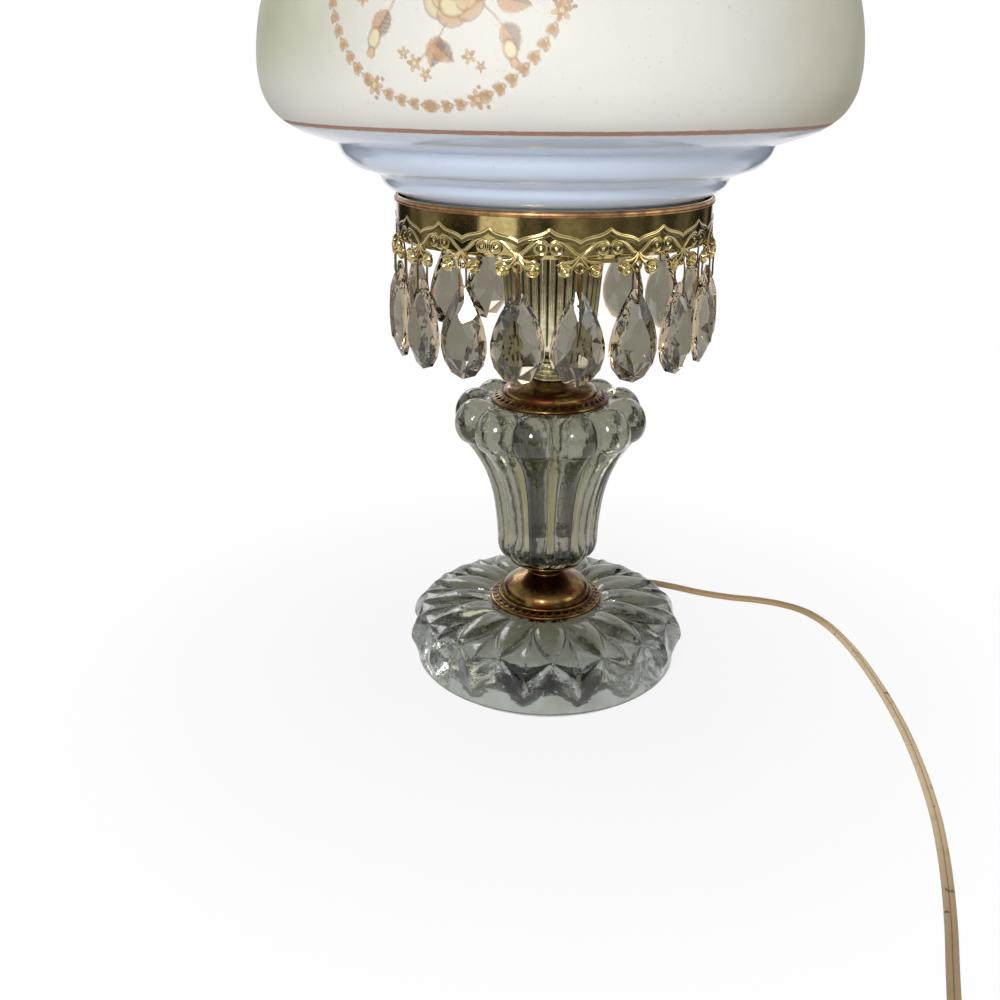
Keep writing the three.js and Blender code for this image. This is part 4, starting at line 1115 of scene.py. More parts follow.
class LAMP_OT_caps(Maker, bpy.types.Operator):
    """Spins the aged brass: both caps and the waist with its saucer"""

    bl_idname = "lamp.caps"
    bl_label = "Aged brass"

    def execute(self, context):
        brass = metal_finish("aged brass")
        foot = cap_mesh("scalloped_cap", "foot_cap", scalloped=True)
        place(foot, brass, "aged_brass", "foot_cap")
        vase = cap_mesh("dented_cap", "vase_cap", scalloped=False)
        place(vase, brass, "aged_brass", "vase_cap")
        outline = np.vstack([
            flowing([(8.5, 0), (8.8, 0.3), (8.7, 0.8), (8.1, 1.2)], 4),
            flowing([(7.6, 1.4), (7.1, 2.0), (7.4, 2.8), (8.8, 3.7), (11.2, 4.6), (14.2, 5.5),
                     (17.0, 6.6), (18.3, 7.4), (18.2, 7.9), (17.6, 8.2)], 4),
            [(PIPE_HOLE, 8.2), (PIPE_HOLE, 0)]])
        waist = turned("turned_waist", outline, 160, lowest("waist_spool"))
        place(waist, brass, "aged_brass", "waist_spool")
        return {"FINISHED"}


class LAMP_OT_cup(Maker, bpy.types.Operator):
    """Spins the bright brass under the ring: the ribbed collar and the reeded socket cup"""

    bl_idname = "lamp.cup"
    bl_label = "Reeded cup"

    def execute(self, context):
        brass = metal_finish("cup brass")
        outline = np.vstack([
            flowing([(8.7, 0), (9.2, 0.5), (9.1, 1.2), (8.0, 1.7)], 4),
            flowing([(7.9, 1.8), (8.7, 2.4), (8.7, 3.1), (7.6, 3.7)], 4),
            flowing([(7.5, 3.9), (8.3, 4.5), (8.2, 5.2), (7.0, 6.2), (6.8, 7.6), (7.4, 9.2),
                     (8.6, 10.3)], 4),
            [(PIPE_HOLE, 10.3), (PIPE_HOLE, 0)]])
        collar = turned("ribbed_collar", outline, 128, lowest("neck_collar"))
        place(collar, brass, "polished_brass", "neck_collar")

        sizes = context.scene.lamp_brass
        base = lowest("fluted_cup")
        steps = 10
        columns = sizes.reeds * steps
        angles = evenly(columns)
        reed = swelling(((np.arange(columns) / steps) + 0.5) % 1)
        # Radius, height over the base, and share of the full depth of the grooves
        line = np.vstack([
            flowing([(10.0, 0, 0), (13.6, 0.8, 0), (17.0, 2.9, 0), (18.8, 5.8, 0), (19.4, 8.0, 0)], 4),
            flowing([(19.5, 8.6, 0.3), (19.8, 9.8, 0.9), (20.4, 12.5, 1)], 3),
            np.linspace((20.4, 12.5, 1), (23.3, 50.2, 1), 10)[1:],
            [(23.35, 50.9, 0.4), (23.4, 51.2, 0), (23.4, 52.2, 0), (23.1, 52.5, 0), (22.3, 52.4, 0),
             (21.3, 50.7, 0), (18.2, 12.5, 0), (17.6, 6.8, 0), (14.6, 2.9, 0), (10.0, 1.3, 0),
             (PIPE_HOLE, 1.3, 0), (PIPE_HOLE, 0, 0)]])
        rows = [
            around(radius * MM - share * sizes.reed_depth * (1 - reed), angles, base + height * MM)
            for radius, height, share in line]
        # The mark paints shade in the grooves between the reeds
        sunk = np.array([share * (1 - reed) * 0.4 for _, _, share in line])
        cup = skin("reeded_cup", rows, looped=True, sharp=45, marks={"relief": sunk})
        key_hole = pin("key hole", 3.6, -40, -12, 32, (0, 0, halfway_up("socket_key")))
        place(cut(cup, key_hole, 45), brass, "polished_brass", "fluted_cup")
        return {"FINISHED"}


def distance_to(line, x, z):
    """Distance of points from a line of straight stretches."""
    least = np.full(np.broadcast(x, z).shape, np.inf)
    for (x0, z0), (x1, z1) in zip(line, line[1:]):
        run, rise = x1 - x0, z1 - z0
        share = np.clip(((x - x0) * run + (z - z0) * rise) / (run**2 + rise**2), 0, 1)
        least = np.minimum(least, np.hypot(x - x0 - share * run, z - z0 - share * rise))
    return least


def embossing(off_middle, z, half_bay):
    """Height of the relief, from 0 to 1, at a distance from an arch's middle, in millimetres."""
    width = bpy.context.scene.lamp_ring.line / MM
    ogee_peak, ogee_fall, second_line = 222.2, 4.8, 1.15
    eye, eye_ring, eye_dot = (3.0, 215.2), 2.2, 0.75
    t = np.linspace(0, 1, 25)
    ogee = np.stack([
        half_bay * t, ogee_peak - ogee_fall * (0.55 * (1 - (1 - t) ** 4) + 0.45 * t**4)], axis=1)
    arch = flowing([
        (half_bay, 212.4), (10.4, 213.2), (8.6, 214.7), (6.6, 216.5), (4.8, 217.7), (3.2, 218.0),
        (1.5, 217.4), (0.75, 216.2), (0.7, 214.9)], 3)
    lines = [ogee, ogee - (0, second_line), arch]
    relief = np.zeros(np.broadcast(off_middle, z).shape)
    for line, strength in zip(lines, (1.0, 0.55, 1.0)):
        relief = np.maximum(relief, strength * np.exp(-(distance_to(line, off_middle, z) / width) ** 2))
    from_eye = np.hypot(off_middle - eye[0], z - eye[1])
    relief = np.maximum(relief, np.exp(-((from_eye - eye_ring) / (0.9 * width)) ** 2))
    return np.maximum(relief, 1.2 * np.exp(-(from_eye / eye_dot) ** 2))


# The gallery ring, in millimetres
RING_RADIUS = 68.6
RING_WALL = 0.8
RING_UNDER_SHADE = 1.3  # from the band's lowest edge up to the shade's foot
LIP_RADIUS = 60.8  # the inner lip's hole
PLAIN_TOP = 223.2  # where the plain part of the band ends under the bead
NECK_TOP = 226.7
# The pierced tab under each joint
EYE_OVER_CURLS = 2.3
EYE_RADIUS = 1.2
TAB_HALF_WIDTH, TAB_RISE, TAB_ROUND = 2.3, 4.2, 2.25
CURL_HEIGHT = 207.2


class LAMP_OT_ring(Maker, bpy.types.Operator):
    """Stamps the gallery ring: embossed band, coppery bead, and curled tabs under its joints"""

    bl_idname = "lamp.ring"
    bl_label = "Gallery ring"

    def execute(self, context):
        sizes = context.scene.lamp_ring
        base = lowest("milk_shade") / MM - RING_UNDER_SHADE
        outer = RING_RADIUS
        inner = outer - RING_WALL
        steps = 72
        bay = FULL_TURN / sizes.bays
        half_bay = outer * bay / 2
        across = (np.arange(steps) / steps - 0.5) * 2 * half_bay
        off_middle = half_bay - np.abs(across)
        angles = sizes.first_joint + (np.arange(sizes.bays * steps) / steps - 0.5) * bay
        edge = base + 1.7 - 1.1 * (off_middle / half_bay) ** 3
        shares = np.append(np.linspace(0, 1, 46), (1.13, 1.32))[:, None]
        heights = edge + (PLAIN_TOP - edge) * shares
        heights[-1] = NECK_TOP
        relief = embossing(off_middle[None, :], heights, half_bay)
        everywhere = np.ones(steps)
        rows = [(outer + raised * sizes.relief / MM, height) for raised, height in zip(relief, heights)]
        for radius, height in [
                (outer - 0.4, 227.0), (outer - 0.5, 228.9), (inner - 0.1, 229.3), (inner - 0.4, 228.9),
                (inner, 226.4), (inner, base + 1.0), (LIP_RADIUS, base + 1.0), (LIP_RADIUS, base + 0.2),
                (inner - 0.2, base + 0.2)]:
            rows.append((radius * everywhere, height * everywhere))
        marks = np.zeros((len(rows), sizes.bays * steps))
        # The relief's heights also mark where the brass paints shade beside its lines and a highlight on
        # their tops
        marks[:len(relief)] = np.tile(relief, sizes.bays)
        skins = [
            around(np.tile(radius, sizes.bays) * MM, angles, np.tile(height, sizes.bays) * MM)
            for radius, height in rows]
        brass = metal_finish("bright brass")
        band = skin("embossed_band", skins, looped=True, sharp=50, marks={"relief": marks})
        place(band, brass, "polished_brass", "gallery_ring")
        bead = turned("rolled_bead", flowing([
            (68.25, 227.2), (68.5, 226.75), (69.0, 226.95), (69.2, 227.7), (69.0, 228.5),
            (68.5, 229.0), (68.1, 228.8), (68.15, 228.0)], 3), 256, sharp=60)
        place(bead, metal_finish("bead copper"), "polished_brass", "gallery_ring")
        tree = ring_of_copies()
        template = joined("curled tab", [eye_tab(), curl(1), curl(-1)])
        tabs = copied_round(
            "curled_tabs", template, tree, brass, sizes.bays, sizes.first_joint, bay)
        place(tabs, None, "polished_brass", "gallery_ring")
        return {"FINISHED"}


def eye_tab():
    """The pierced tab at the front that the hanger's wire passes through."""
    outer, inner = RING_RADIUS, RING_RADIUS - RING_WALL
    eye_height = lowest("gallery_ring") / MM + EYE_OVER_CURLS
    columns = 40
    sweep = evenly(columns)
    sideways, upwards = np.cos(sweep), np.sin(sweep)
    box = np.minimum(TAB_HALF_WIDTH / np.maximum(np.abs(sideways), 1e-6),
                     TAB_RISE / np.maximum(upwards, 1e-6))
    edge = np.maximum(TAB_ROUND, np.where(upwards > 0, box, 0))
    bevel = 0.15
    rows = []
    for radius, reach in ((outer, EYE_RADIUS), (outer + 0.1, EYE_RADIUS + bevel),
                          (outer + 0.1, edge - bevel), (outer, edge), (inner, edge),
                          (inner, EYE_RADIUS)):
        rows.append(np.stack([
            reach * sideways, np.full(columns, -radius), eye_height + reach * upwards], axis=1) * MM)
    return skin("eye tab", rows, looped=True)


def curl(side):
    """A rolled curl beside the tab: its spiral end faces outwards, and two arms join it on."""
    sizes = bpy.context.scene.lamp_ring
    spiral_pitch = 1.7
    reach, spread = sizes.curl / MM, sizes.curl_spread / MM
    sweep = evenly(36)
    profile = [(0.01, -0.4, 0), (0.8, -0.4, 0), (0.98, 0.0, 0), (1.0, 0.6, 0), (0.97, 1.2, 0)]
    profile += [(share, 1.35 + 0.35 * (1 - share**2), 1) for share in np.linspace(0.9, 0.01, 18)]
    rows = []
    for share, out, wound in profile:
        ridge = 0.32 * wound * np.cos(FULL_TURN * share * reach / spiral_pitch - side * sweep)
        rows.append(np.stack([
            side * spread + share * reach * np.cos(sweep),
            -(RING_RADIUS + out + ridge * min(1, share * 4)),
            CURL_HEIGHT + share * reach * np.sin(sweep)], axis=1) * MM)
    parts = [skin("spiral end", rows, capped=True)]
    for line in (
            [(0.3, 0.3, 213.0), (1.8, 0.7, 211.4), (4.0, 1.0, 210.5), (6.6, 1.1, 210.4),
             (8.8, 0.8, 209.2)],
            [(0.2, 0.3, 212.6), (1.1, 0.7, 210.8), (2.3, 1.0, 209.2), (3.5, 1.0, 207.9)]):
        path = flowing([(side * x, -(RING_RADIUS + out), z) for x, out, z in line], 4) * MM
        parts.append(tube("arm", path, (0, -1, 0), oval_outline(0.62, 0.5)))
    return joined("curl", parts)


# Places on a drop, in metres: its hole under the CAD drop's top, its tip over the hole, and half
# the thickness of its edge
HOLE_DEPTH = 0.0062
TIP_OVER_HOLE = 0.0052
EDGE_HALF = 0.0007
# Height of the drop's widest part, and the sizes of the rows of facets, as shares
WIDEST = 0.58
BELT = 0.8
BELT_DEPTH = 0.5
FRONT_TABLE, BACK_TABLE = 0.5, 0.2
# Half widths and drops from the top as shares of a drop's width and height
DROP_SIDE = [(0.06, 0.0), (0.12, 0.06), (0.225, 0.16), (0.33, 0.27), (0.43, 0.41), (0.49, 0.56),
             (0.49, 0.68), (0.42, 0.82), (0.24, 0.95)]


def drop_mesh(radius, height):
    """A cut drop at the front of the ring: a table and two rows of facets on each face."""
    sizes = bpy.context.scene.lamp_drop
    top = height + TIP_OVER_HOLE
    right = [(half * sizes.width, top - drop * sizes.height) for half, drop in DROP_SIDE]
    left = [(-x, z) for x, z in reversed(right)]
    outline = np.array([*right, (0, top - sizes.height), *left])
    if len(outline) % 2:
        outline = np.vstack([outline, [(0, top)]])
    corners = len(outline)
    middle = np.array((0, top - WIDEST * sizes.height))
    half = sizes.thickness / 2
    points, faces = [], []

    def row(shares, depth, picks):
        start = len(points)
        for k in picks:
            before, after = outline[math.floor(k) % corners], outline[math.ceil(k) % corners]
            x, z = middle + ((before + after) / 2 - middle) * shares
            points.append((x, -radius + depth, z))
        return start

    rims = [row(1.0, side * EDGE_HALF, range(corners)) for side in (-1, 1)]
    for side, rim in zip((-1, 1), rims):
        facets = corners // 2
        belt = row(BELT, side * BELT_DEPTH * half, range(1, corners + 1, 2))
        table = row(FRONT_TABLE if side < 0 else BACK_TABLE, side * half, range(2, corners + 2, 2))
        made = []
        for k in range(facets):
            after = (k + 1) % facets
            g0, g1, g2 = (rim + (2 * k + shift) % corners for shift in (0, 1, 2))
            made += [(g0, g1, belt + k), (g1, g2, belt + k), (g2, belt + after, belt + k)]
            made += [(belt + k, belt + after, table + k), (belt + after, table + after, table + k)]
        made.append(tuple(table + k for k in range(facets)))
        faces += made if side < 0 else [face[::-1] for face in made]
    for k in range(corners):
        after = (k + 1) % corners
        faces.append((rims[0] + k, rims[1] + k, rims[1] + after, rims[0] + after))
    # The edge points carry the rim mark, where the crystal glass paints pinkish-beige light
    rim = np.zeros(len(points))
    rim[:2 * corners] = 1.0
    drop = mesh_of("drop", np.array(points), faces, sharp=1.0, marks={"rim": rim})
    return cut(drop, pin("hole", sizes.hole / MM, -9, 9, 12, (0, -radius, height)), 1.0)


def hanger_mesh(radius, height, drop):
    """The bent wire: through the ring's eye at the top, and both ends pinched into the drop."""
    wire = bpy.context.scene.lamp_drop.wire / MM
    half = [(0.9, 0), (1.9, 0.15), (2.3, 1.2), (2.25, 5.5), (2.2, drop - 2.4), (1.65, drop - 0.5),
            (0.0, drop)]
    line = [*half, *((-x, z) for x, z in half[-2::-1])]
    path = flowing([(0, -radius / MM - x, height / MM + z) for x, z in line], 5) * MM
    return tube("hanger", path, (1, 0, 0), oval_outline(wire, wire))


class LAMP_OT_drops(Maker, bpy.types.Operator):
    """Cuts the glass drops and bends their wire hangers, one pair for each joint of the ring"""

    bl_idname = "lamp.drops"
    bl_label = "Drops and hangers"

    def execute(self, context):
        swings = [joint for joint in frame["joints"] if joint["child"].startswith("pendant_")]
        tree = ring_of_copies()
        glass, copper = crystal_glass(), metal_finish("hanger copper")
        x, y, hook = swings[0]["pos_m"]
        radius = math.hypot(x, y)
        hole = highest("crystal_01") - HOLE_DEPTH
        drop = drop_mesh(radius, hole)
        wire = hanger_mesh(radius, hole, (hook - hole) / MM)
        for joint in swings:
            body = joint["child"]
            number = body.rsplit("_", 1)[1]
            x, y, _ = joint["pos_m"]
            first = math.atan2(x, -y)
            cut_glass = copied_round(f"cut_drop_{number}", drop, tree, glass, 1, first)
            cut_glass.set_sharp_from_angle(angle=math.radians(1))
            place(cut_glass, None, "crystal_glass", f"crystal_{number}", body=body)
            bent = copied_round(f"bent_wire_{number}", wire, tree, copper, 1, first)
            place(bent, None, "plain_brass", f"hanger_{number}", body=body)
        return {"FINISHED"}


# The dome's line is part of an oval: its middle, its half sizes outside and inside, in millimetres
DOME_MIDDLE = (50, 68)
DOME_OUTSIDE = (72.7, 78)
DOME_INSIDE = (69.5, 74.8)


def shade_lines():
    """The outer and the inner line of the shade from its neck up, in millimetres over its foot."""
    turns = np.radians(np.arange(0, 73, 3))

    def dome(halves, angles):
        return np.stack([DOME_MIDDLE[0] + halves[0] * np.cos(angles),
                         DOME_MIDDLE[1] + halves[1] * np.sin(angles)], axis=1)

    steps = np.vstack([
        flowing([(64.2, 15.1), (65.6, 17.0), (68.0, 18.2), (71.0, 19.8), (73.5, 22.0), (74.6, 24.4)], 4),
        flowing([(75.0, 25.4), (79.6, 27.4), (86.2, 29.8), (90.4, 34.0), (92.0, 37.6)], 5),
        flowing([(92.6, 38.9), (99.5, 40.8), (108.7, 44.2), (117.3, 50.6), (121.5, 58.6),
                 (122.6, 66.0)], 6)])
    collar = flowing([(66.0, 144.6), (59.0, 146.4), (54.6, 148.6), (53.2, 151.4)], 4)
    outer = np.vstack([[(64.2, 0.3)], steps, dome(DOME_OUTSIDE, turns), collar, [(53.2, 156.8)]])
    inner = np.vstack([
        [(50.0, 156.8), (50.0, 147.6)], flowing([(51.6, 145.8), (58.0, 143.6), (68.0, 140.2)], 4),
        dome(DOME_INSIDE, turns[:19])[::-1],
        flowing([(118.6, 59.6), (114.4, 52.2), (105.7, 47.2), (97.0, 43.6), (90.2, 41.0)], 4),
        flowing([(87.6, 37.0), (83.6, 31.8), (78.0, 29.0), (72.0, 26.4), (66.0, 21.6)], 4),
        [(61.0, 17.0), (61.0, 0.3)]])
    return outer, inner


class LAMP_OT_shade(Maker, bpy.types.Operator):
    """Blows the milk-glass shade: a neck in the ring, two stepped rings, the belly and the dome"""

    bl_idname = "lamp.shade"
    bl_label = "Shade"

    def execute(self, context):
        outer, inner = shade_lines()
        lip = flowing([(53.2, 157.0), (52.7, 157.8), (51.6, 158.0), (50.5, 157.8), (50.0, 157.0)], 3)
        foot = [(61.3, 0), (63.9, 0)]
        line = np.vstack([outer, lip, inner, foot])
        shade = turned("opal_shade", line, 192, lowest("milk_shade"), sharp=50)
        place(shade, milk_glass(), "milk_glass", "milk_shade", body="shade")
        return {"FINISHED"}


# The print


class Canvas:
    """Ink and cover at the points of a print, whose places are in millimetres from its middle."""

    def __init__(self, x, y):
        self.x, self.y = x, y
        self.ink = np.empty((*x.shape, 3))
        self.ink[:] = linear(238, 222, 196)
        self.cover = np.zeros(x.shape)

    def lay(self, share, tint):
        share = np.clip(share, 0, 1)
        self.ink += (np.array(tint) - self.ink) * share[..., None]
        self.cover = 1 - (1 - self.cover) * (1 - share)

    def local(self, at, lean):
        x, y = self.x - at[0], self.y - at[1]
        return x * math.cos(lean) + y * math.sin(lean), y * math.cos(lean) - x * math.sin(lean)

    def oval(self, at, size, tint, lean=0.0, strength=1.0, soft=0.3):
        along, across = self.local(at, lean)
        edge = 1 - np.hypot(along / size[0], across / size[1])
        self.lay(strength * soft_step(edge, 0, soft), tint)

    def rim(self, at, size, tint, width=0.35, lean=0.0, strength=0.8, gap=None):
        """A line round an oval, left open towards gap, an angle."""
        along, across = self.local(at, lean)
        off = (np.hypot(along / size[0], across / size[1]) - 1) * min(size)
        shown = np.exp(-(off / width) ** 2)
        if gap is not None:
            facing = np.cos(np.arctan2(across, along) - gap)
            shown = shown * soft_step(facing, 0.95, 0.1)
        self.lay(strength * shown, tint)

    def stroke(self, points, tint, width=0.35, strength=0.9):
        off = distance_to(flowing(points, 4), self.x, self.y)
        self.lay(strength * np.exp(-(off / width) ** 2), tint)

    def leaf(self, at, length_mm, lean, first, second):
        """A pointed leaf with one half darker than the other and a vein."""
        along, across = self.local(at, lean)
        share = np.clip(along / length_mm, 0, 1)
        half = 0.34 * length_mm * np.sin(math.pi * share**0.8) ** 0.9
        inside = soft_step(half - np.abs(across), 0, 0.5) * (along > 0) * (along < length_mm)
        notches = 0.82 + 0.18 * np.cos(along * 4.2 + np.abs(across) * 2)
        self.lay(0.85 * inside * notches * (across > 0), first)
        self.lay(0.85 * inside * notches * (across <= 0), second)
        self.lay(0.6 * np.exp(-(across / 0.2) ** 2) * inside, dark(first, 0.7))
        outline = np.exp(-((half - np.abs(across)) / 0.22) ** 2) * (along > 0) * (along < length_mm)
        self.lay(0.5 * outline, dark(second, 0.62))


PEACH, CREAM = linear(228, 194, 154), linear(244, 232, 188)
OUTLINE, MAUVE, ORANGE = linear(166, 122, 84), linear(134, 106, 104), linear(218, 154, 100)
TAN = linear(206, 152, 96)


def full_blossom(canvas, at, reach):
    """A layered round blossom with curled petals and a cream heart."""
    for ring, petals in ((0.72, 7), (0.44, 5)):
        for k in range(petals):
            lean = FULL_TURN * (k + 0.35 * (petals % 2)) / petals + ring
            middle = (at[0] + ring * reach * math.cos(lean), at[1] + ring * reach * math.sin(lean))
            size = (0.36 * reach, 0.46 * reach)
            canvas.oval(middle, size, PEACH if k % 3 else CREAM, lean, 0.92)
            canvas.rim(middle, size, OUTLINE, 0.3, lean, 0.75, gap=math.pi)
    canvas.oval(at, (0.4 * reach, 0.36 * reach), CREAM, 0.3)
    for k in range(3):
        size = ((0.34 - 0.09 * k) * reach, (0.3 - 0.08 * k) * reach)
        canvas.rim(at, size, MAUVE, 0.32, 0.5 * k, 0.8, gap=2.1 * k)


def small_star(canvas, at, reach, petals=5, heart=CREAM):
    for k in range(petals):
        lean = FULL_TURN * k / petals + at[0]
        middle = (at[0] + 0.55 * reach * math.cos(lean), at[1] + 0.55 * reach * math.sin(lean))
        canvas.oval(middle, (0.5 * reach, 0.27 * reach), TAN if k % 2 else PEACH, lean, 0.85)
    canvas.oval(at, (0.3 * reach, 0.3 * reach), heart)
    canvas.rim(at, (0.3 * reach, 0.3 * reach), OUTLINE, 0.2)


def bell(canvas, at, reach, lean):
    """A closed bud on its stalk."""
    tip = (at[0] + reach * math.cos(lean), at[1] + reach * math.sin(lean))
    canvas.oval(at, (0.75 * reach, 0.5 * reach), CREAM, lean)
    canvas.rim(at, (0.75 * reach, 0.5 * reach), OUTLINE, 0.28, lean, 0.7)
    canvas.oval(tip, (0.45 * reach, 0.4 * reach), PEACH, lean)
    canvas.rim(tip, (0.4 * reach, 0.3 * reach), MAUVE, 0.25, lean, 0.7, gap=0.0)


def laurel_wreath(canvas, reach):
    """Paired small leaves along a circle, with stars and berries at intervals."""
    pairs = 56
    for k in range(pairs):
        lean = FULL_TURN * k / pairs
        if k % 8 == 5:
            continue
        at = (reach * math.cos(lean), reach * math.sin(lean))
        onward = lean + math.pi / 2 * (1 if math.sin(lean / 2 + 0.8) > 0 else -1)
        for side in (-1, 1):
            canvas.leaf(at, 3.7, onward + side * 0.5, ORANGE, TAN)
        canvas.oval(at, (0.75, 0.75), CREAM, 0, 0.9)
        canvas.rim(at, (0.75, 0.75), OUTLINE, 0.2)
    for k in range(7):
        lean = FULL_TURN * (8 * k + 5) / pairs
        at = (reach * math.cos(lean), reach * math.sin(lean))
        small_star(canvas, at, 3.6, 6)
        for side in (-1, 1):
            off = reach + side * 3.4
            berry = (off * math.cos(lean + 0.05), off * math.sin(lean + 0.05))
            canvas.oval(berry, (0.8, 0.8), MAUVE, 0, 0.75)
    canvas.rim((0, 0), (reach, reach), dark(TAN, 0.85), 0.3, 0, 0.55)


def flower_spray(canvas):
    stalk = dark(ORANGE, 0.72)
    for points in ([(-26, 8), (-14, -4), (4, -12), (20, -10)], [(6, -12), (2, -22), (-6, -30)],
                   [(-12, -5), (-18, -16), (-22, -22)], [(14, -11), (22, -18), (25, -25)],
                   [(4, 24), (2, 10), (5, -6)], [(-26, 8), (-30, 14), (-28, 22)]):
        canvas.stroke(points, stalk, 0.3, 0.7)
    for at, size, lean in (
            ((-14, -4), 13, 3.5), ((-17, -14), 11, 4.1), ((20, -10), 12, -0.25), ((23, -18), 10, -1.0),
            ((2, -22), 10, 4.4), ((0, -24), 9, 5.6), ((-26, 8), 12, 2.5), ((10, 12), 12, 0.5),
            ((2, 12), 12, 2.1), ((16, 2), 13, 0.15), ((-16, 6), 10, 1.9)):
        canvas.leaf(at, size, lean, MAUVE, ORANGE)
    full_blossom(canvas, (6.5, -8.0), 10.5)
    full_blossom(canvas, (-9.0, 7.0), 8.5)
    full_blossom(canvas, (13.0, 18.0), 7.5)
    bell(canvas, (-22.5, -22.5), 4.6, 4.4)
    bell(canvas, (25.5, -26.0), 4.2, -1.2)
    for at, size in (((-7, -30), 3.0), ((-3, -33.5), 2.4), ((-11, -27), 2.4), ((12, -28), 2.6),
                     ((16, -31), 2.0), ((-28, -10), 2.6), ((30, -6), 2.8), ((-30, 2), 2.2)):
        small_star(canvas, at, size)


# The print's sheet, in millimetres, and how well its ink covers
BELLY_FOOT = 46  # height over the shade's foot where the line that it is laid on starts
PRINT_MARGIN = 5.5
PRINT_GRID = 0.5
PRINT_OVER_STRIPE = 1.5
PRINT_PROUD = 0.05
PRINT_COVER = 0.92


class LAMP_OT_print(Maker, bpy.types.Operator):
    """Prints a laurel wreath and a flower spray on the front of the shade"""

    bl_idname = "lamp.print"
    bl_label = "Print"

    def execute(self, context):
        sizes = context.scene.lamp_shade
        base = lowest("milk_shade") / MM
        outer, _ = shade_lines()
        line = outer[np.searchsorted(outer[:, 1], BELLY_FOOT):]
        runs = np.concatenate([[0], np.cumsum(np.linalg.norm(np.diff(line, axis=0), axis=1))])
        middle = np.interp(sizes.print_height / MM - base, line[:, 1], runs)
        reach = sizes.print_reach / MM
        half = reach + PRINT_MARGIN
        grid = np.arange(-half, half, PRINT_GRID)
        stripe = sizes.stripe_height / MM + PRINT_OVER_STRIPE - base
        low = np.interp(stripe, line[:, 1], runs) - middle
        up = grid[grid > low]
        radius = np.interp(middle + up, runs, line[:, 0])
        height = np.interp(middle + up, runs, line[:, 1])
        out = normals_of(np.stack([radius, height], axis=1))
        x, y = np.meshgrid(grid, up)
        canvas = Canvas(x, y)
        flower_spray(canvas)
        laurel_wreath(canvas, reach)
        angles = sizes.print_turn + x / radius[:, None]
        rows = around(
            (radius + PRINT_PROUD * out[:, 0])[:, None] * MM, angles,
            (base + height + PRINT_PROUD * out[:, 1])[:, None] * MM)
        fade = PRINT_COVER * canvas.cover
        ink = np.concatenate([canvas.ink, np.ones((*x.shape, 1))], axis=-1)
        mesh = skin("shade_print", rows[::-1], wrapped=False,
                    marks={"ink": ink[::-1], "cover": fade[::-1]})
        place(mesh, printed_colours(), "milk_glass", body="shade")
        return {"FINISHED"}


BULB_METAL_TOP = lowest("light_bulb") + 0.0265
THREAD_TURNS, THREAD_START, THREAD_PITCH = 6, 5.2, 3.4
PADDLE_HALF_DEPTH = 0.0026


class LAMP_OT_socket(Maker, bpy.types.Operator):
    """Makes the socket inside the cup, its key at the back, and the bulb"""

    bl_idname = "lamp.socket"
    bl_label = "Socket and bulb"

    def execute(self, context):
        brass = metal_finish("plain brass")
        base = lowest("socket_shell")
        ribs = np.vstack([
            flowing([(16.8, top - 0.8), (16.2, top - 0.5), (16.2, top + 0.5), (16.8, top + 0.8)], 3)
            for top in (6.0, 10.0, 28.0, 31.0)])
        outline = np.vstack([
            [(16.1, 0), (16.8, 0)], ribs, flowing([(16.8, 34.4), (16.9, 35.2), (16.5, 35.9)], 3),
            [(15.95, 36.0), (15.9, 35.0), (15.9, 1.0)]])
        shell = turned("ribbed_shell", outline, 96, base)
        hole = pin("stem hole", 2.2, -24, -12, 24, (0, 0, halfway_up("socket_key")))
        place(cut(shell, hole), brass, "plain_brass", "socket_shell")
        coat("socket_cap", brass)
        coat("socket_core", moulded("porcelain", linear(232, 226, 212), 0.22, 0.002, 0.00005, 0.4))
        place(key_mesh(), brass, "plain_brass", "socket_key", body="key")

        thread = []
        for turn_number in range(THREAD_TURNS):
            start = THREAD_START + THREAD_PITCH * turn_number
            thread += [(12.6, start), (13.1, start + 0.9), (13.1, start + 1.6), (12.5, start + 2.6)]
        outline = np.vstack([
            [(0, 0), (2.4, 0), (4.6, 0.6)], flowing([(5.4, 1.6), (8.6, 3.4), (12.4, 4.6)], 3), thread,
            [(13.1, 26.4)],
            flowing([(13.0, 26.6), (13.4, 29.0), (15.4, 34.0), (19.6, 44.0), (23.8, 55.0),
                     (28.2, 66.0), (30.0, 77.0), (28.8, 88.0), (24.4, 98.0), (16.4, 106.0),
                     (7.0, 109.6), (0, 110.0)], 5)])
        bulb = turned("frosted_bulb", outline, 96, lowest("light_bulb"), sharp=35)
        place(bulb, bulb_finish(), "bulb_glass", "light_bulb", body="bulb")
        return {"FINISHED"}


def key_mesh():
    """The switch key: a stem with a collar, and a flat paddle with waisted sides."""
    low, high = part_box("socket_key")
    height = halfway_up("socket_key")
    stem = turned("stem", [
        (0, 3.0), (1.6, 3.0), (1.6, 25.4), (2.3, 25.8), (2.3, 27.0), (1.7, 27.4), (1.7, 30.6),
        (0, 30.6)], 24)
    stem.transform(Matrix.Translation((0, 0, height)) @ Matrix.Rotation(-math.pi / 2, 4, "X"))
    half_wide, half_tall = (high.x - low.x) / 2, (high.z - low.z) / 2
    columns = 48
    sweep = evenly(columns)
    wide = half_wide * squared(np.cos(sweep), 0.6)
    tall = half_tall * np.sin(sweep) * (0.62 + 0.38 * (wide / half_wide) ** 2)
    depth = high.y - 2 * PADDLE_HALF_DEPTH
    rows = []
    for out, share in ((0.0, 0.86), (0.0006, 0.97), (0.0014, 1.0), (0.0038, 1.0), (0.0046, 0.97),
                       (0.0052, 0.86)):
        rows.append(np.stack([
            wide * share, np.full(columns, depth + out), height + tall * share], axis=1))
    paddle = skin("paddle", rows, capped=True)
    return joined("turn_key", [stem, paddle])


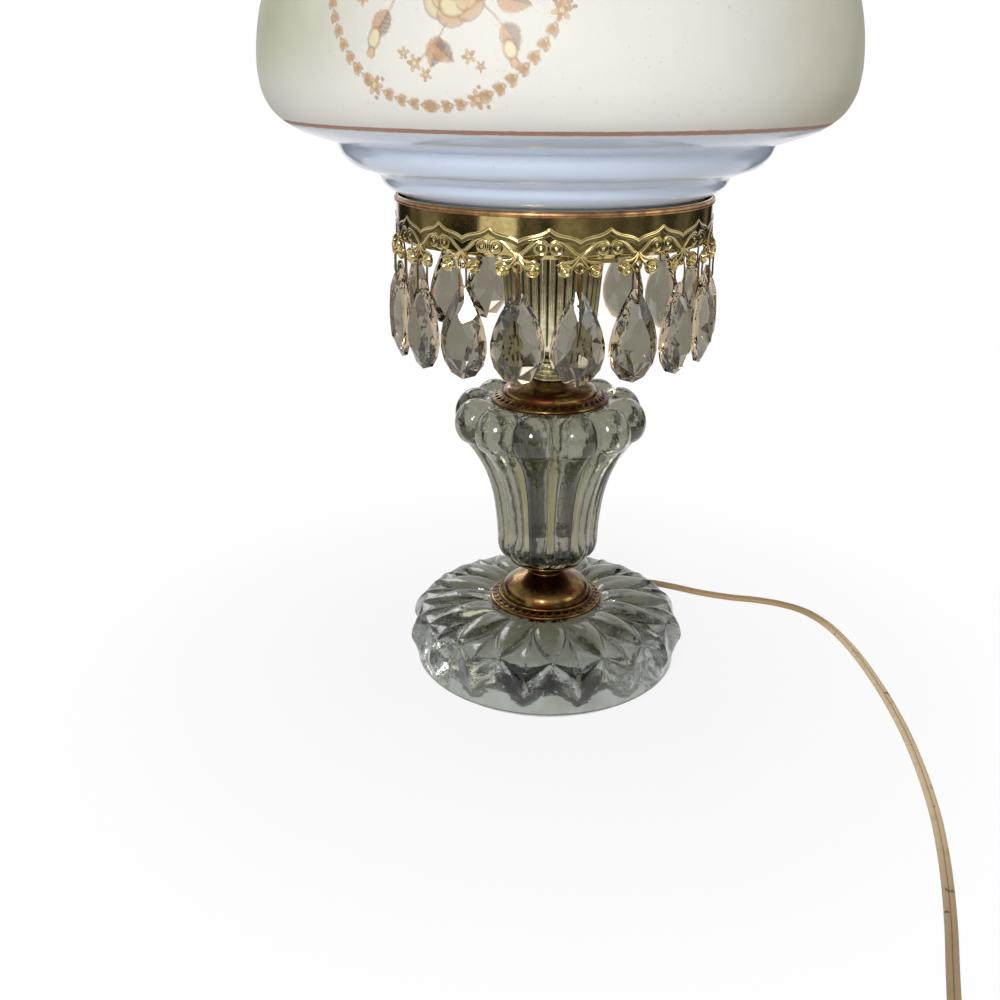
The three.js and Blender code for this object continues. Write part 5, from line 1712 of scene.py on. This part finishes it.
class LAMP_OT_hardware(Maker, bpy.types.Operator):
    """Finishes the pipe, the nut, the washer and the ring's spider"""

    bl_idname = "lamp.hardware"
    bl_label = "Hardware"

    def execute(self, context):
        steel = metal_finish("zinc steel")
        for node in ("threaded_pipe", "foot_nut", "foot_washer"):
            coat(node, steel)
        coat("gallery_spider", metal_finish("plain brass"))
        return {"FINISHED"}


FLOOR_HALF = 6.0
FLOOR_DEPTH = -0.0002
FLOOR_GREY = (0.86, 0.86, 0.86)
# How white the floor is right under the lamp, and between which radii it gets fully white
SHADOW_WHITE = 0.88
SHADOW_REACH = (0.06, 0.3)
# What the world shows overhead, and what it lights the matte pieces with
CEILING_GREY = (0.45, 0.45, 0.45)
MATTE_LIGHT = (0.2, 0.2, 0.2)
# A low grey screen round the front, under the camera, with a gap at the left, its spans in degrees
SCREEN_RADIUS = 0.56
SCREEN_HEIGHT = 0.2
SCREEN_SPANS = ((-145, -49), (-24, 150))
# Name, place, what it points at, size in metres and power in watts
LIGHTS = (
    ("key light", (-0.25, -1.05, 0.62), (0, 0, 0.2), 0.28, 7.2),
    ("fill light", (1.1, -0.5, 0.55), (0, 0, 0.18), 0.5, 1.6),
    ("back light", (-0.5, 1.1, 0.7), (0, 0, 0.2), 0.5, 2.2))


class LAMP_OT_stage(Maker, bpy.types.Operator):
    """Sets the pale floor, the soft lights and the white surroundings"""

    bl_idname = "lamp.stage"
    bl_label = "Stage"

    def execute(self, context):
        corners = [(FLOOR_HALF * x, FLOOR_HALF * y, FLOOR_DEPTH)
                   for x, y in ((-1, -1), (1, -1), (1, 1), (-1, 1))]
        mesh = bpy.data.meshes.new("floor")
        mesh.from_pydata(corners, [], [(0, 1, 2, 3)])
        floor = object_of(mesh, floor_finish())
        for name, at, towards, size, power in LIGHTS:
            lamp = bpy.data.lights.new(name, "AREA")
            lamp.shape = "DISK"
            lamp.size = size
            lamp.energy = power
            made = bpy.data.objects.new(name, lamp)
            made.location = at
            aim = Vector(towards) - Vector(at)
            made.rotation_euler = aim.to_track_quat("-Z", "Y").to_euler()
            context.scene.collection.objects.link(made)
        for first, last in SCREEN_SPANS:
            sweep = np.radians(np.linspace(first, last, 40))
            rows = [around(SCREEN_RADIUS, sweep, height) for height in (0.0, SCREEN_HEIGHT)]
            screen = object_of(skin("screen", rows, wrapped=False), screen_finish())
            screen.visible_camera = screen.visible_diffuse = screen.visible_shadow = False
            screen.visible_transmission = False
        surroundings(context.scene)
        context.scene.view_settings.view_transform = "Standard"
        return {"FINISHED"}


def surroundings(scene):
    """White all round with a grey ceiling, and dim where it only lights the matte pieces."""
    scene.world = bpy.data.worlds.new("surroundings")
    paint = Paint("surroundings", scene.world)
    direction = paint.node("ShaderNodeTexCoord", output="Generated")
    overhead = paint.node("ShaderNodeSeparateXYZ", {}, {0: direction}, "Z").between(0.45, 0.85)
    shown = paint.blend(overhead, (1, 1, 1), CEILING_GREY)
    camera, mirrored = rays(paint)
    tint = paint.blend(camera.maths("MAXIMUM", camera, mirrored), MATTE_LIGHT, shown)
    back = paint.node("ShaderNodeBackground", {}, {"Color": tint, "Strength": 1.0})
    paint.end(back, "ShaderNodeOutputWorld")


STEPS = [
    LAMP_OT_camera, LAMP_OT_cord, LAMP_OT_stage, LAMP_OT_foot, LAMP_OT_vase, LAMP_OT_caps,
    LAMP_OT_cup, LAMP_OT_ring, LAMP_OT_drops, LAMP_OT_shade, LAMP_OT_print, LAMP_OT_socket,
    LAMP_OT_hardware,
]


class LAMP_PT_pieces(bpy.types.Panel):
    """Lists the lamp's steps in the sidebar"""

    bl_idname = "LAMP_PT_pieces"
    bl_label = "Boudoir lamp"
    bl_space_type = "VIEW_3D"
    bl_region_type = "UI"
    bl_category = "Lamp"

    def draw(self, context):
        for step in STEPS:
            self.layout.operator(step.bl_idname)


def register():
    for group in GROUPS.values():
        bpy.utils.register_class(group)
    for name, group in GROUPS.items():
        setattr(bpy.types.Scene, name, bpy.props.PointerProperty(type=group))
    for step in (*STEPS, LAMP_PT_pieces):
        bpy.utils.register_class(step)


def unregister():
    for step in (LAMP_PT_pieces, *reversed(STEPS)):
        bpy.utils.unregister_class(step)
    for name, group in GROUPS.items():
        delattr(bpy.types.Scene, name)
        bpy.utils.unregister_class(group)


def main():
    register()
    for step in STEPS:
        area, name = step.bl_idname.split(".")
        getattr(getattr(bpy.ops, area), name)()


if __name__ == "__main__":
    main()
